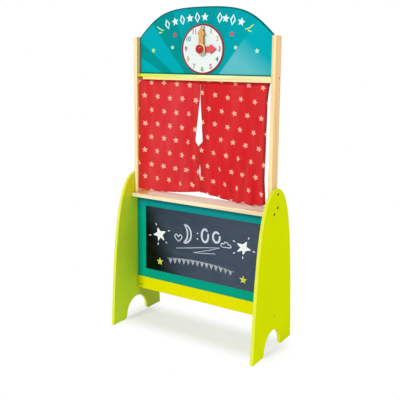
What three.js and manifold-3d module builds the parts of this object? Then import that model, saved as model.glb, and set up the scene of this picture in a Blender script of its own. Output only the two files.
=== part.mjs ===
// Puppet theater stand for children, a free-standing one with a shelf as its stage.
// Two side panels stand on the floor and carry a bottom rail, a chalkboard, the shelf and two posts.
// The posts hold a top rail, a round-topped header board with a toy clock, and a pair of curtains.
// Millimetres, +Z up, origin on the floor in the middle of the stand, and the stage faces -Y.
import * as THREE from "three";
import { mergeVertices } from "three/addons/utils/BufferGeometryUtils.js";
import Module from "manifold-3d";

// Clearances shared by all joints
const seatGap = 0.3; // between two pieces that lie against each other
const boreGap = 0.25; // round a pin, dowel or bolt in its hole, on the radius
const cutOverrun = 2; // how far a cutting tool passes the face it cuts
const samePoint = 1e-4; // points nearer than this are one
const edgeEase = 1.2; // rounding of the painted boards' edges
const pineEase = 0.8; // rounding of the bare pine sticks' edges
const turnedEaseShare = 0.2; // rounding of turned rings and clock hands, of their thickness
const chamferShare = 0.25; // of a bolt head's or a knob rim's height

// Side panels
const overallWidth = 620;
const panelThickness = 12.5;
const panelHeight = 586;
const panelDepth = 300;
const panelFlankShares = [0.872, 0.57]; // first handle of the outline, of the half depth and the height
const panelCrownShare = 0.765; // second handle, of the half depth, level with the top
const archHalfWidth = 63;
const archHeight = 76;
const archCenterY = -4.5;
const archFootRadius = 14;

// Shelf that is the stage floor
const shelfThickness = 15;
const shelfDrop = 78.6; // from the side panels' tops down to the shelf's upper face
const shelfFrontY = -39.5;
const shelfDepth = 86.6;
const shelfBoltY = -18.4;
const shelfDowelInset = 21; // from the shelf's back edge

// Posts
const postWidth = 15;
const postDepth = 43;
const postFrontY = -18;
const postHeight = 594; // above the shelf

// Top rail and the lath under its front edge
const topRailHeight = 11;
const topRailDrop = 135.6; // from the posts' tops down to the rail's upper face
const topRailScrewInset = 11; // from the rail's back edge
const lathHeight = 9.4;
const lathDepth = 12;
const lathLeftStop = 27; // the lath ends this far from the left post

// Header board
const headerThickness = 8;
const headerRecess = 20.2; // behind the posts' front faces
const headerArchRise = 103.6; // above the posts' tops
const tongueDepth = 4; // how far the board sits in the grooves of the posts and the rail
const headerShoulderShares = [0.7, 0.83]; // first handle of the arch, of the half width and the rise
const headerCrownShare = 0.567; // second handle, of the half width, level with the top

// Chalkboard and the bottom rail below it
const boardFrontY = -0.7;
const boardThickness = 12;
const railThickness = 15;
const railHeight = 49.5;
const railBottomZ = 111.7;
const chalkSideBorder = 42;
const chalkTopBorder = 39.7;
const chalkBottomBorder = 36.7;
const chalkSheetThickness = 3;
const railBoltRise = 14.3; // above the rail's lower edge
const barrelInset = 15.5; // from the rail's end to the barrel nut
const boardDowelInset = 150; // from the board's end

// Toy clock
const dialRadius = 89;
const dialThickness = 3;
const dialRise = 90.7; // middle of the clock above the top rail
const rimWidth = 6;
const rimProud = 0.6;
const axleRadius = 3;
const backSpacerRadius = 12;
const backSpacerThickness = 1.5;
const handThickness = 4;
const handWidth = 20;
const arrowWidth = 33;
const arrowLength = 24;
const arrowNoseShare = 0.2; // how much of the arrow head its round nose takes
const hourReach = 61;
const minuteReach = 77;
const handSpacerRadius = 9;
const handSpacerThickness = 1;
const hubRadius = 19;
const hubThickness = 4;
const knobRadius = 15.5;
const knobHeight = 13.5;
const knobRimHeight = 4;
const domeSteps = 7;
const axleInKnob = 8;
const backWasherRadius = 9;
const backWasherThickness = 1.2;
const nutWidth = 10;
const nutThickness = 5;
const axleTail = 2; // past the nut

// Curtains
const rodRadius = 4.5;
const rodBehindLath = 8; // from the lath's back face to the rod's middle
const rodInPost = 5;
const sleeveWall = 1.6;
const sleeveGap = 0.5;
const clothThickness = 1.5;
const partingX = -9; // where the two curtains meet at the top
const hemWidth = 14;
const hemPlies = 2; // a hem is the cloth folded on itself
const leftEdgeGap = 1.2; // from the left curtain to the left post
const rightEdgeGap = 19; // from the right curtain to the right post
const hemLift = 7; // the curtains' lower edge above the shelf
const hemRise = 24; // how much higher it is at the parting
const cornerRise = 9; // how much higher it is at the outer corners
const cornerStartShare = 0.8; // of the way from the parting, where that begins
const partingSpread = 15; // how far each leading edge is drawn aside
const partingBowShares = [0.1, 0.51, 0.56]; // down the curtain: where it starts, is widest and ends
const foldCount = 5;
const foldDepth = 3.2;
const foldTopShare = 0.3; // depth of the folds at the rod, of that at the hem
const clothColumns = 32;
const hemColumns = 2;

// Fasteners
const boltShank = 3; // radius
const boltHeadRadius = 5.5;
const boltHeadHeight = 3.5;
const boltSocketWidth = 4;
const boltSocketDepth = 2.2;
const boltInWood = 11;
const screwShank = 2;
const screwHeadRadius = 3.4;
const screwHeadHeight = 2.6;
const screwSocketWidth = 2.6;
const screwSocketDepth = 1.4;
const screwInWood = 28;
const upperPostBoltDrop = 20.5; // below the panel's top
const lowerPostBoltRise = 11; // above the shelf
const barrelRadius = 3.6;
const barrelLength = 11.5;
const barrelBoltTip = 5; // how far the rail bolt passes the barrel nut's middle
const dowelRadius = 3;
const dowelInPanel = 7;
const dowelInShelf = 16;
const dowelInBoard = 14;
const dowelInShelfTop = 7;
const dowelInRail = 14;

// Colours, roughness and metalness
const finishes = {
  limePaint: { color: 0xcddc12, roughness: 0.45, metalness: 0 },
  tealPaint: { color: 0x0f9b94, roughness: 0.45, metalness: 0 },
  chalkPaint: { color: 0x40505c, roughness: 0.7, metalness: 0 },
  pine: { color: 0xf2d9a4, roughness: 0.6, metalness: 0 },
  whitePrint: { color: 0xf0f4f0, roughness: 0.5, metalness: 0 },
  redPaint: { color: 0xc8322c, roughness: 0.35, metalness: 0 },
  orangePaint: { color: 0xeea544, roughness: 0.4, metalness: 0 },
  steel: { color: 0x8d9094, roughness: 0.35, metalness: 1 },
  blackSteel: { color: 0x25262a, roughness: 0.4, metalness: 1 },
  redCloth: { color: 0xd92a30, roughness: 0.9, metalness: 0 },
};
const materials = Object.fromEntries(
  Object.entries(finishes).map(([name, look]) => [name, new THREE.MeshStandardMaterial(look)]),
);

const wasm = await Module();
wasm.setup();

const stand = new THREE.Group();
stand.name = "puppet_theater_stand";

// A closed three.js geometry as a solid that can be cut or joined
function solid(geometry) {
  const bare = geometry.clone();
  bare.deleteAttribute("normal");
  bare.deleteAttribute("uv");
  const merged = mergeVertices(bare, samePoint);
  return new wasm.Manifold(
    new wasm.Mesh({
      numProp: 3,
      vertProperties: new Float32Array(merged.attributes.position.array),
      triVerts: new Uint32Array(merged.index.array),
    }),
  );
}

// A solid back as a three.js geometry with flat-shaded faces
function surface(body) {
  const mesh = body.getMesh();
  const geometry = new THREE.BufferGeometry();
  geometry.setAttribute("position", new THREE.BufferAttribute(new Float32Array(mesh.vertProperties), 3));
  geometry.setIndex(new THREE.BufferAttribute(new Uint32Array(mesh.triVerts), 1));
  const flat = geometry.toNonIndexed();
  flat.computeVertexNormals();
  return flat;
}

function cut(geometry, tools) {
  return surface(tools.reduce((body, tool) => body.subtract(solid(tool)), solid(geometry)));
}

function add(name, geometry, material, x = 0, y = 0, z = 0) {
  const mesh = new THREE.Mesh(geometry, material);
  mesh.name = name;
  mesh.position.set(x, y, z);
  stand.add(mesh);
  return mesh;
}

const alongX = new THREE.Vector3(1, 0, 0);
const alongY = new THREE.Vector3(0, 1, 0);
const alongZ = new THREE.Vector3(0, 0, 1);

// A closed outline through straight points, which are [x, y] pairs, and curves with a number of steps each
function outlineOf(parts) {
  const points = parts.flatMap((part) =>
    part.curve ? part.curve.getPoints(part.steps) : [new THREE.Vector2(part[0], part[1])],
  );
  return new THREE.Shape(points.filter((point, i) => i === 0 || point.distanceTo(points[i - 1]) > samePoint));
}

// A board cut from an outline, its edges eased, from 0 to its thickness along the local Z axis
function board(outline, thickness, ease) {
  return new THREE.ExtrudeGeometry(outline, {
    depth: thickness - 2 * ease,
    bevelThickness: ease,
    bevelSize: ease,
    bevelOffset: -ease,
    bevelSegments: 1,
  }).translate(0, 0, ease);
}

// Outline drawn in Y and Z, thickness along +X from 0
function boardAcross(outline, thickness, ease) {
  const turn = new THREE.Matrix4().makeBasis(alongY, alongZ, alongX);
  return board(outline, thickness, ease).applyMatrix4(turn);
}

// Outline drawn in X and Z, front face at Y = 0 and thickness towards +Y
function boardFacing(outline, thickness, ease) {
  const turn = new THREE.Matrix4().makeBasis(alongX, alongZ, alongY.clone().negate());
  return board(outline, thickness, ease).applyMatrix4(turn).translate(0, thickness, 0);
}

// A straight stick with eased long edges, centred on X, from 0 in Y and Z
function stick(length, depth, height, ease) {
  const section = rectangle(0, 0, depth, height);
  return boardAcross(section, length, ease).translate(-length / 2, 0, 0);
}

function rectangle(left, bottom, right, top) {
  return outlineOf([[left, bottom], [right, bottom], [right, top], [left, top]]);
}

// A cubic curve through its two ends and two handles, each an [x, y] pair
function bend(steps, ...ends) {
  return { curve: new THREE.CubicBezierCurve(...ends.map(([x, y]) => new THREE.Vector2(x, y))), steps };
}

function arc(steps, x, y, radiusX, radiusY, fromAngle, toAngle, clockwise = false) {
  return { curve: new THREE.EllipseCurve(x, y, radiusX, radiusY, fromAngle, toAngle, clockwise), steps };
}

// Round bar along X, Y or Z whose middle is at the given point
function bar(axis, radius, length, x = 0, y = 0, z = 0, sides = 16) {
  const geometry = new THREE.CylinderGeometry(radius, radius, length, sides);
  if (axis === "x") geometry.rotateZ(-Math.PI / 2);
  if (axis === "z") geometry.rotateX(Math.PI / 2);
  return geometry.translate(x, y, z);
}

function block(width, depth, height, x, y, z) {
  return new THREE.BoxGeometry(width, depth, height).translate(x, y, z);
}

// Derived places that several pieces share
const panelOuterX = overallWidth / 2;
const panelInnerX = panelOuterX - panelThickness;
const spanBetweenPanels = 2 * (panelInnerX - seatGap);
const postOuterX = panelInnerX - seatGap;
const postInnerX = postOuterX - postWidth;
const spanBetweenPosts = 2 * (postInnerX - seatGap);
const shelfTopZ = panelHeight - shelfDrop;
const postBottomZ = shelfTopZ + seatGap;
const postTopZ = shelfTopZ + postHeight;
const topRailTopZ = postTopZ - topRailDrop;
const headerTopZ = postTopZ + headerArchRise;
const shelfBottomZ = shelfTopZ - shelfThickness;
const shelfMiddleZ = shelfTopZ - shelfThickness / 2;
const shelfBackY = shelfFrontY + shelfDepth;
const railTopZ = railBottomZ + railHeight;
const boardBottomZ = railTopZ + seatGap;
const boardTopZ = shelfBottomZ - seatGap;
const boltLineY = boardFrontY + railThickness / 2;
const topRailBottomZ = topRailTopZ - topRailHeight;
const topRailMiddleZ = topRailTopZ - topRailHeight / 2;
const lathBottomZ = topRailBottomZ - seatGap - lathHeight;
const headerFrontY = postFrontY + headerRecess;
const headerBackY = headerFrontY + headerThickness;
const clockZ = topRailTopZ + dialRise;
const rodY = postFrontY + lathDepth + rodBehindLath;
const sleeveRadius = rodRadius + sleeveGap + sleeveWall;
const rodZ = topRailBottomZ - seatGap - sleeveRadius;
const postScrewY = postFrontY + postDepth - topRailScrewInset;
const shelfDowelY = shelfBackY - shelfDowelInset;
const railBoltZ = railBottomZ + railBoltRise;
const barrelX = panelInnerX - seatGap - barrelInset;
const postBoltHeights = [panelHeight - upperPostBoltDrop, shelfTopZ + lowerPostBoltRise];

// Bolt or screw along +X with its head's outer face at X = 0 and its shank towards +X
function fastener(headRadius, headHeight, shankRadius, shankLength, socketWidth, socketDepth) {
  const chamfer = headHeight * chamferShare;
  const profile = [
    new THREE.Vector2(0, 0),
    new THREE.Vector2(headRadius - chamfer, 0),
    new THREE.Vector2(headRadius, chamfer),
    new THREE.Vector2(headRadius, headHeight),
    new THREE.Vector2(shankRadius, headHeight),
    new THREE.Vector2(shankRadius, headHeight + shankLength - shankRadius / 2),
    new THREE.Vector2(shankRadius / 2, headHeight + shankLength),
    new THREE.Vector2(0, headHeight + shankLength),
  ];
  const turned = new THREE.LatheGeometry(profile, 12).rotateZ(-Math.PI / 2);
  const socket = bar("x", socketWidth / Math.sqrt(3), 2 * socketDepth, 0, 0, 0, 6);
  return cut(turned, [socket]);
}

const panelBolt = (shankLength) =>
  fastener(boltHeadRadius, boltHeadHeight, boltShank, shankLength, boltSocketWidth, boltSocketDepth);
const postBoltLength = panelThickness - boltHeadHeight + seatGap + boltInWood;
const shelfBoltLength = panelThickness - boltHeadHeight + seatGap + screwInWood;
const railBoltLength = panelOuterX - boltHeadHeight - barrelX + barrelBoltTip;

// Holes for a fastener that enters a panel at Y and Z: a flat-bottomed head recess and a shank bore
function boltHole(side, y, z, outerX, headRadius, headHeight, shankRadius, reach) {
  const recess = bar("x", headRadius + boreGap, headHeight + cutOverrun + boreGap);
  recess.translate(side * (outerX + (cutOverrun - headHeight - boreGap) / 2), y, z);
  const bore = bar("x", shankRadius + boreGap, reach + cutOverrun);
  bore.translate(side * (outerX + (cutOverrun - reach) / 2), y, z);
  return [recess, bore];
}

function sidePanelOutline() {
  const half = panelDepth / 2;
  const [flankY, flankZ] = [half * panelFlankShares[0], panelHeight * panelFlankShares[1]];
  const crownY = half * panelCrownShare;
  const foot = archFootRadius;
  const rightFootY = archCenterY + archHalfWidth + foot;
  const leftFootY = archCenterY - archHalfWidth - foot;
  return outlineOf([
    bend(20, [half, 0], [flankY, flankZ], [crownY, panelHeight], [0, panelHeight]),
    bend(20, [0, panelHeight], [-crownY, panelHeight], [-flankY, flankZ], [-half, 0]),
    arc(5, leftFootY, foot, foot, foot, -Math.PI / 2, 0),
    arc(16, archCenterY, foot, archHalfWidth, archHeight - foot, Math.PI, 0, true),
    arc(5, rightFootY, foot, foot, foot, Math.PI, 1.5 * Math.PI),
  ]);
}

function addSidePanel(name, side) {
  const body = boardAcross(sidePanelOutline(), panelThickness, edgeEase);
  body.translate(side > 0 ? panelInnerX : -panelOuterX, 0, 0);
  const through = panelThickness + cutOverrun;
  const hole = (y, z) =>
    boltHole(side, y, z, panelOuterX, boltHeadRadius, boltHeadHeight, boltShank, through);
  const dowelHole = bar("x", dowelRadius + boreGap, 2 * (dowelInPanel + boreGap));
  dowelHole.translate(side * panelInnerX, shelfDowelY, shelfMiddleZ);
  add(
    name,
    cut(body, [
      ...postBoltHeights.flatMap((z) => hole(boltLineY, z)),
      ...hole(shelfBoltY, shelfMiddleZ),
      ...hole(boltLineY, railBoltZ),
      dowelHole,
    ]),
    materials.limePaint,
  );
}

function addPost(name, side) {
  const height = postTopZ - postBottomZ;
  const outline = rectangle(postFrontY, 0, postFrontY + postDepth, height);
  const body = boardAcross(outline, postWidth, pineEase).translate(
    side > 0 ? postInnerX : -postOuterX, 0, postBottomZ,
  );
  const groove = block(
    2 * (tongueDepth + seatGap),
    headerThickness + 2 * seatGap,
    postTopZ - topRailTopZ + cutOverrun,
    side * postInnerX,
    headerFrontY + headerThickness / 2,
    (postTopZ + topRailTopZ + cutOverrun) / 2,
  );
  const inserts = postBoltHeights.map((z) =>
    bar("x", boltShank + boreGap, 2 * (boltInWood + boreGap)).translate(side * postOuterX, boltLineY, z),
  );
  const rodSocket = bar("x", rodRadius + boreGap, 2 * (rodInPost + boreGap));
  rodSocket.translate(side * postInnerX, rodY, rodZ);
  add(
    name,
    cut(body, [
      groove,
      ...inserts,
      rodSocket,
      ...boltHole(
        side, postScrewY, topRailMiddleZ, postOuterX,
        screwHeadRadius, screwHeadHeight, screwShank, postWidth + cutOverrun,
      ),
    ]),
    materials.pine,
  );
}

for (const [word, side] of [["left", -1], ["right", 1]]) {
  addSidePanel("side_panel_" + word, side);
  addPost("post_" + word, side);
}

// Shelf
{
  const body = stick(spanBetweenPanels, shelfDepth, shelfThickness, pineEase);
  const half = spanBetweenPanels / 2;
  const holes = [-1, 1].flatMap((side) => [
    bar("x", boltShank + boreGap, 2 * (screwInWood + boreGap)).translate(
      side * half, shelfBoltY - shelfFrontY, shelfThickness / 2,
    ),
    bar("x", dowelRadius + boreGap, 2 * (dowelInShelf + boreGap)).translate(
      side * half, shelfDowelY - shelfFrontY, shelfThickness / 2,
    ),
    bar("z", dowelRadius + boreGap, 2 * (dowelInShelfTop + boreGap)).translate(
      side * (half - boardDowelInset), boardFrontY + boardThickness / 2 - shelfFrontY, 0,
    ),
  ]);
  add("stage_shelf", cut(body, holes), materials.pine, 0, shelfFrontY, shelfBottomZ);
}

// Bottom rail with the holes of its bolts, barrel nuts and dowels
{
  const body = stick(spanBetweenPanels, railThickness, railHeight, edgeEase);
  const half = spanBetweenPanels / 2;
  const barrelHoleDepth = (railThickness + barrelLength) / 2 + boreGap;
  const holes = [-1, 1].flatMap((side) => [
    bar("x", boltShank + boreGap, 2 * (half - barrelX + barrelBoltTip + boreGap)).translate(
      side * half, railThickness / 2, railBoltRise,
    ),
    bar("y", barrelRadius + boreGap, 2 * barrelHoleDepth).translate(side * barrelX, 0, railBoltRise),
    bar("z", dowelRadius + boreGap, 2 * (dowelInRail + boreGap)).translate(
      side * (half - boardDowelInset), boardThickness / 2, railHeight,
    ),
  ]);
  add("bottom_rail", cut(body, holes), materials.limePaint, 0, boardFrontY, railBottomZ);
}

// Chalkboard: a painted board with the writing sheet let into its face
{
  const height = boardTopZ - boardBottomZ;
  const half = spanBetweenPanels / 2;
  const outline = rectangle(-half, 0, half, height);
  const sheetWidth = spanBetweenPanels - 2 * chalkSideBorder;
  const sheetHeight = height - chalkTopBorder - chalkBottomBorder;
  const pocket = block(
    sheetWidth + 2 * seatGap,
    2 * chalkSheetThickness,
    sheetHeight + 2 * seatGap,
    0,
    0,
    chalkBottomBorder + sheetHeight / 2,
  );
  const dowelHoles = [-1, 1].flatMap((side) =>
    [0, height].map((z) =>
      bar("z", dowelRadius + boreGap, 2 * (dowelInBoard + boreGap)).translate(
        side * (half - boardDowelInset), boardThickness / 2, z,
      ),
    ),
  );
  const panel = cut(boardFacing(outline, boardThickness, edgeEase), [pocket, ...dowelHoles]);
  add("chalkboard_panel", panel, materials.tealPaint, 0, boardFrontY, boardBottomZ);
  const sheet = boardFacing(
    rectangle(-sheetWidth / 2, 0, sheetWidth / 2, sheetHeight), chalkSheetThickness - seatGap, seatGap,
  );
  add("chalk_sheet", sheet, materials.chalkPaint, 0, boardFrontY, boardBottomZ + chalkBottomBorder);
}

// Top rail with the groove that the header board stands in, and the lath under it
{
  const body = stick(spanBetweenPosts, postDepth, topRailHeight, pineEase);
  const groove = block(
    spanBetweenPosts + cutOverrun,
    headerThickness + 2 * seatGap,
    2 * (tongueDepth + seatGap),
    0,
    headerRecess + headerThickness / 2,
    topRailHeight,
  );
  const screwHoles = [-1, 1].map((side) =>
    bar("x", screwShank + boreGap, 2 * (screwInWood + boreGap)).translate(
      (side * spanBetweenPosts) / 2, postScrewY - postFrontY, topRailHeight / 2,
    ),
  );
  add("top_rail", cut(body, [groove, ...screwHoles]), materials.pine, 0, postFrontY, topRailBottomZ);

  const length = spanBetweenPosts - lathLeftStop;
  const lath = stick(length, lathDepth, lathHeight, pineEase);
  add("curtain_lath", lath, materials.pine, lathLeftStop / 2, postFrontY, lathBottomZ);
}

// Header board
{
  const half = spanBetweenPosts / 2;
  const wing = half + tongueDepth;
  const bottom = topRailTopZ - tongueDepth;
  const shoulder = [half * headerShoulderShares[0], postTopZ + headerArchRise * headerShoulderShares[1]];
  const crownX = half * headerCrownShare;
  const shape = outlineOf([
    [-half, bottom], [half, bottom], [half, topRailTopZ + seatGap], [wing, topRailTopZ + seatGap],
    [wing, postTopZ - tongueDepth],
    bend(24, [half, postTopZ], shoulder, [crownX, headerTopZ], [0, headerTopZ]),
    bend(24, [0, headerTopZ], [-crownX, headerTopZ], [-shoulder[0], shoulder[1]], [-half, postTopZ]),
    [-wing, postTopZ - tongueDepth], [-wing, topRailTopZ + seatGap], [-half, topRailTopZ + seatGap],
  ]);
  const axleHole = bar("y", axleRadius + boreGap, headerThickness + 2 * cutOverrun);
  axleHole.translate(0, headerThickness / 2, clockZ);
  const geometry = cut(boardFacing(shape, headerThickness, edgeEase), [axleHole]);
  add("header_board", geometry, materials.tealPaint, 0, headerFrontY, 0);
}

// Toy clock, from the header board's face forwards along the axle
function turnedAlongY(profile, sides = 24) {
  return new THREE.LatheGeometry(profile.map(([r, y]) => new THREE.Vector2(r, y)), sides);
}

// A flat ring with an eased front rim, its back face at Y = 0 and its front at minus its thickness
function washer(radius, thickness) {
  const ease = thickness * turnedEaseShare;
  const bore = axleRadius + boreGap;
  return turnedAlongY([
    [bore, -thickness], [radius - ease, -thickness], [radius, ease - thickness], [radius, 0], [bore, 0],
    [bore, -thickness],
  ]);
}

// A chunky clock hand that points along +Z: round hub, straight arm and an arrow head
function handOutline(reach) {
  const armTop = reach - arrowLength;
  const half = handWidth / 2;
  const noseX = (arrowWidth / 2) * arrowNoseShare;
  const noseZ = reach - arrowLength * arrowNoseShare;
  return outlineOf([
    arc(12, 0, 0, half, half, Math.PI, 2 * Math.PI),
    [half, armTop - half / 2], [arrowWidth / 2, armTop],
    bend(4, [noseX, noseZ], [noseX / 2, reach], [-noseX / 2, reach], [-noseX, noseZ]),
    [-arrowWidth / 2, armTop], [-half, armTop - half / 2],
  ]);
}

function hand(reach) {
  const body = boardFacing(handOutline(reach), handThickness, handThickness * turnedEaseShare);
  const bore = bar("y", axleRadius + boreGap, handThickness + 2 * cutOverrun);
  bore.translate(0, handThickness / 2, 0);
  return cut(body.translate(0, -handThickness, 0), [bore.translate(0, -handThickness, 0)]);
}

let stackY = headerFrontY;
function nextOnAxle(thickness) {
  const backY = stackY - seatGap;
  stackY = backY - thickness;
  return backY;
}

{
  const bore = axleRadius + boreGap;
  const inner = dialRadius - rimWidth;
  const dial = turnedAlongY(
    [
      [bore, -dialThickness], [inner - rimProud, -dialThickness], [inner, -dialThickness - rimProud],
      [dialRadius - rimProud, -dialThickness - rimProud], [dialRadius, -dialThickness],
      [dialRadius, 0], [bore, 0], [bore, -dialThickness],
    ],
    60,
  );
  add("clock_dial", dial, materials.whitePrint, 0, nextOnAxle(dialThickness), clockZ);
  const backSpacer = washer(backSpacerRadius, backSpacerThickness);
  add("dial_spacer", backSpacer, materials.steel, 0, nextOnAxle(backSpacerThickness), clockZ);
  const hourHand = add("hour_hand", hand(hourReach), materials.redPaint, 0, nextOnAxle(handThickness), clockZ);
  hourHand.rotation.y = Math.PI / 2;
  const handSpacer = washer(handSpacerRadius, handSpacerThickness);
  add("hand_spacer", handSpacer, materials.steel, 0, nextOnAxle(handSpacerThickness), clockZ);
  add("minute_hand", hand(minuteReach), materials.orangePaint, 0, nextOnAxle(handThickness), clockZ);
  add("hub_disc", washer(hubRadius, hubThickness), materials.pine, 0, nextOnAxle(hubThickness), clockZ);

  const knobBackY = nextOnAxle(knobHeight);
  const dome = knobHeight - knobRimHeight;
  const profile = [[0, -knobHeight]];
  for (let i = 1; i <= domeSteps; i++) {
    const turn = (i / domeSteps) * (Math.PI / 2);
    profile.push([knobRadius * Math.sin(turn), -knobRimHeight - dome * Math.cos(turn)]);
  }
  profile.push([knobRadius - knobRimHeight * chamferShare, 0], [bore, 0], [bore, -axleInKnob], [0, -axleInKnob]);
  add("clock_knob", turnedAlongY(profile), materials.redPaint, 0, knobBackY, clockZ);

  const washerFrontY = headerBackY + seatGap;
  const nutFrontY = washerFrontY + backWasherThickness + seatGap;
  const axleFrontY = knobBackY - axleInKnob + seatGap;
  const axleBackY = nutFrontY + nutThickness + axleTail;
  const axle = bar("y", axleRadius, axleBackY - axleFrontY);
  add("clock_axle", axle, materials.steel, 0, (axleFrontY + axleBackY) / 2, clockZ);
  const backWasher = washer(backWasherRadius, backWasherThickness);
  add("axle_washer", backWasher, materials.steel, 0, washerFrontY + backWasherThickness, clockZ);
  const nut = cut(bar("y", nutWidth / Math.sqrt(3), nutThickness, 0, 0, 0, 6), [
    bar("y", bore, nutThickness + 2 * cutOverrun),
  ]);
  add("axle_nut", nut, materials.steel, 0, nutFrontY + nutThickness / 2, clockZ);
}

// Curtain rod
add(
  "curtain_rod",
  bar("x", rodRadius, 2 * (postInnerX + rodInPost)),
  materials.pine,
  0,
  rodY,
  rodZ,
);

// Curtains: cloth that hangs from a sleeve round the rod, with soft folds that deepen downwards.
// Each has a folded hem along the edge where the two meet, which is what a hand takes hold of.
const clothTopZ = rodZ - rodRadius - sleeveGap - sleeveWall / 2;

// Shares of the way down at which both the cloth and its hem have a row of points, so that they stay in step
const [bowStart, bowWidest, bowEnd] = partingBowShares;
const rowShares = [[0, bowStart, 1], [bowStart, bowWidest, 4], [bowWidest, bowEnd, 1], [bowEnd, 1, 4]].flatMap(
  ([from, to, steps]) => Array.from({ length: steps }, (unused, i) => from + ((to - from) * i) / steps),
).concat(1);

// How far a leading edge is drawn aside at a share of the way down: nothing, a bow, nothing again
function partingBow(down) {
  if (down <= bowStart || down >= bowEnd) return 0;
  return down < bowWidest ? (down - bowStart) / (bowWidest - bowStart) : (bowEnd - down) / (bowEnd - bowWidest);
}

// A closed sheet between two edges. Both edges are functions of the share of the way down.
function clothSheet(outerEdge, innerEdge, hemZ, thickness, columns, phase) {
  const points = [];
  const rows = rowShares.length - 1;
  for (const face of [-1, 1]) {
    for (const down of rowShares) {
      for (let column = 0; column <= columns; column++) {
        const across = column / columns;
        const x = outerEdge(down) + (innerEdge(down) - outerEdge(down)) * across;
        const z = clothTopZ + (hemZ(x) - clothTopZ) * down;
        const depth = foldDepth * (foldTopShare + (1 - foldTopShare) * down);
        const y = depth * Math.sin(phase(x)) + (face * thickness) / 2;
        points.push(x, y, z);
      }
    }
  }
  const faces = [];
  const at = (face, row, column) => (face * (rows + 1) + row) * (columns + 1) + column;
  const quad = (a, b, c, d) => faces.push(a, b, c, a, c, d);
  for (let row = 0; row < rows; row++) {
    for (let column = 0; column < columns; column++) {
      quad(at(0, row, column), at(0, row + 1, column), at(0, row + 1, column + 1), at(0, row, column + 1));
      quad(at(1, row, column), at(1, row, column + 1), at(1, row + 1, column + 1), at(1, row + 1, column));
    }
    quad(at(0, row, 0), at(1, row, 0), at(1, row + 1, 0), at(0, row + 1, 0));
    quad(at(0, row, columns), at(0, row + 1, columns), at(1, row + 1, columns), at(1, row, columns));
  }
  for (let column = 0; column < columns; column++) {
    quad(at(0, 0, column), at(0, 0, column + 1), at(1, 0, column + 1), at(1, 0, column));
    quad(at(0, rows, column), at(1, rows, column), at(1, rows, column + 1), at(0, rows, column + 1));
  }
  const geometry = new THREE.BufferGeometry();
  geometry.setAttribute("position", new THREE.Float32BufferAttribute(points, 3));
  geometry.setIndex(faces);
  if (outerEdge(0) > innerEdge(0)) geometry.index.array.reverse();
  return geometry;
}

// The tube of cloth round the rod between two places along it
function sleeve(fromX, toX) {
  const tube = bar("x", sleeveRadius, toX - fromX, (fromX + toX) / 2, 0, rodZ);
  const bore = bar("x", rodRadius + sleeveGap, toX - fromX + cutOverrun, (fromX + toX) / 2, 0, rodZ);
  return { tube, bore };
}

function addCurtain(word, side) {
  const edgeGap = side < 0 ? leftEdgeGap : rightEdgeGap;
  const outerX = side * (postInnerX - edgeGap);
  const width = Math.abs(partingX - outerX);
  const hemZ = (x) => {
    const aside = Math.min(1, Math.abs(x - partingX) / width);
    const corner = Math.max(0, (aside - cornerStartShare) / (1 - cornerStartShare));
    return shelfTopZ + hemLift + hemRise * (1 - aside) ** 2 + cornerRise * corner ** 2;
  };
  const phase = (x) => ((x - outerX) / width) * foldCount * 2 * Math.PI;
  const leading = (down) => partingX + side * (seatGap / 2 + partingSpread * partingBow(down));
  const hemStart = (down) => leading(down) + side * hemWidth;
  const clothEdge = (down) => hemStart(down) + side * seatGap;
  const outer = () => outerX;

  const pieces = [
    ["curtain_" + word, outer, clothEdge, clothThickness, clothColumns],
    ["curtain_hem_" + word, hemStart, leading, clothThickness * hemPlies, hemColumns],
  ];
  for (const [name, edgeA, edgeB, thickness, columns] of pieces) {
    const sheet = clothSheet(edgeA, edgeB, hemZ, thickness, columns, phase);
    const { tube, bore } = sleeve(Math.min(edgeA(0), edgeB(0)), Math.max(edgeA(0), edgeB(0)));
    const cloth = surface(solid(sheet).add(solid(tube)).subtract(solid(bore)));
    add(name, cloth, materials.redCloth, 0, rodY, 0);
  }
}

addCurtain("left", -1);
addCurtain("right", 1);

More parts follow.
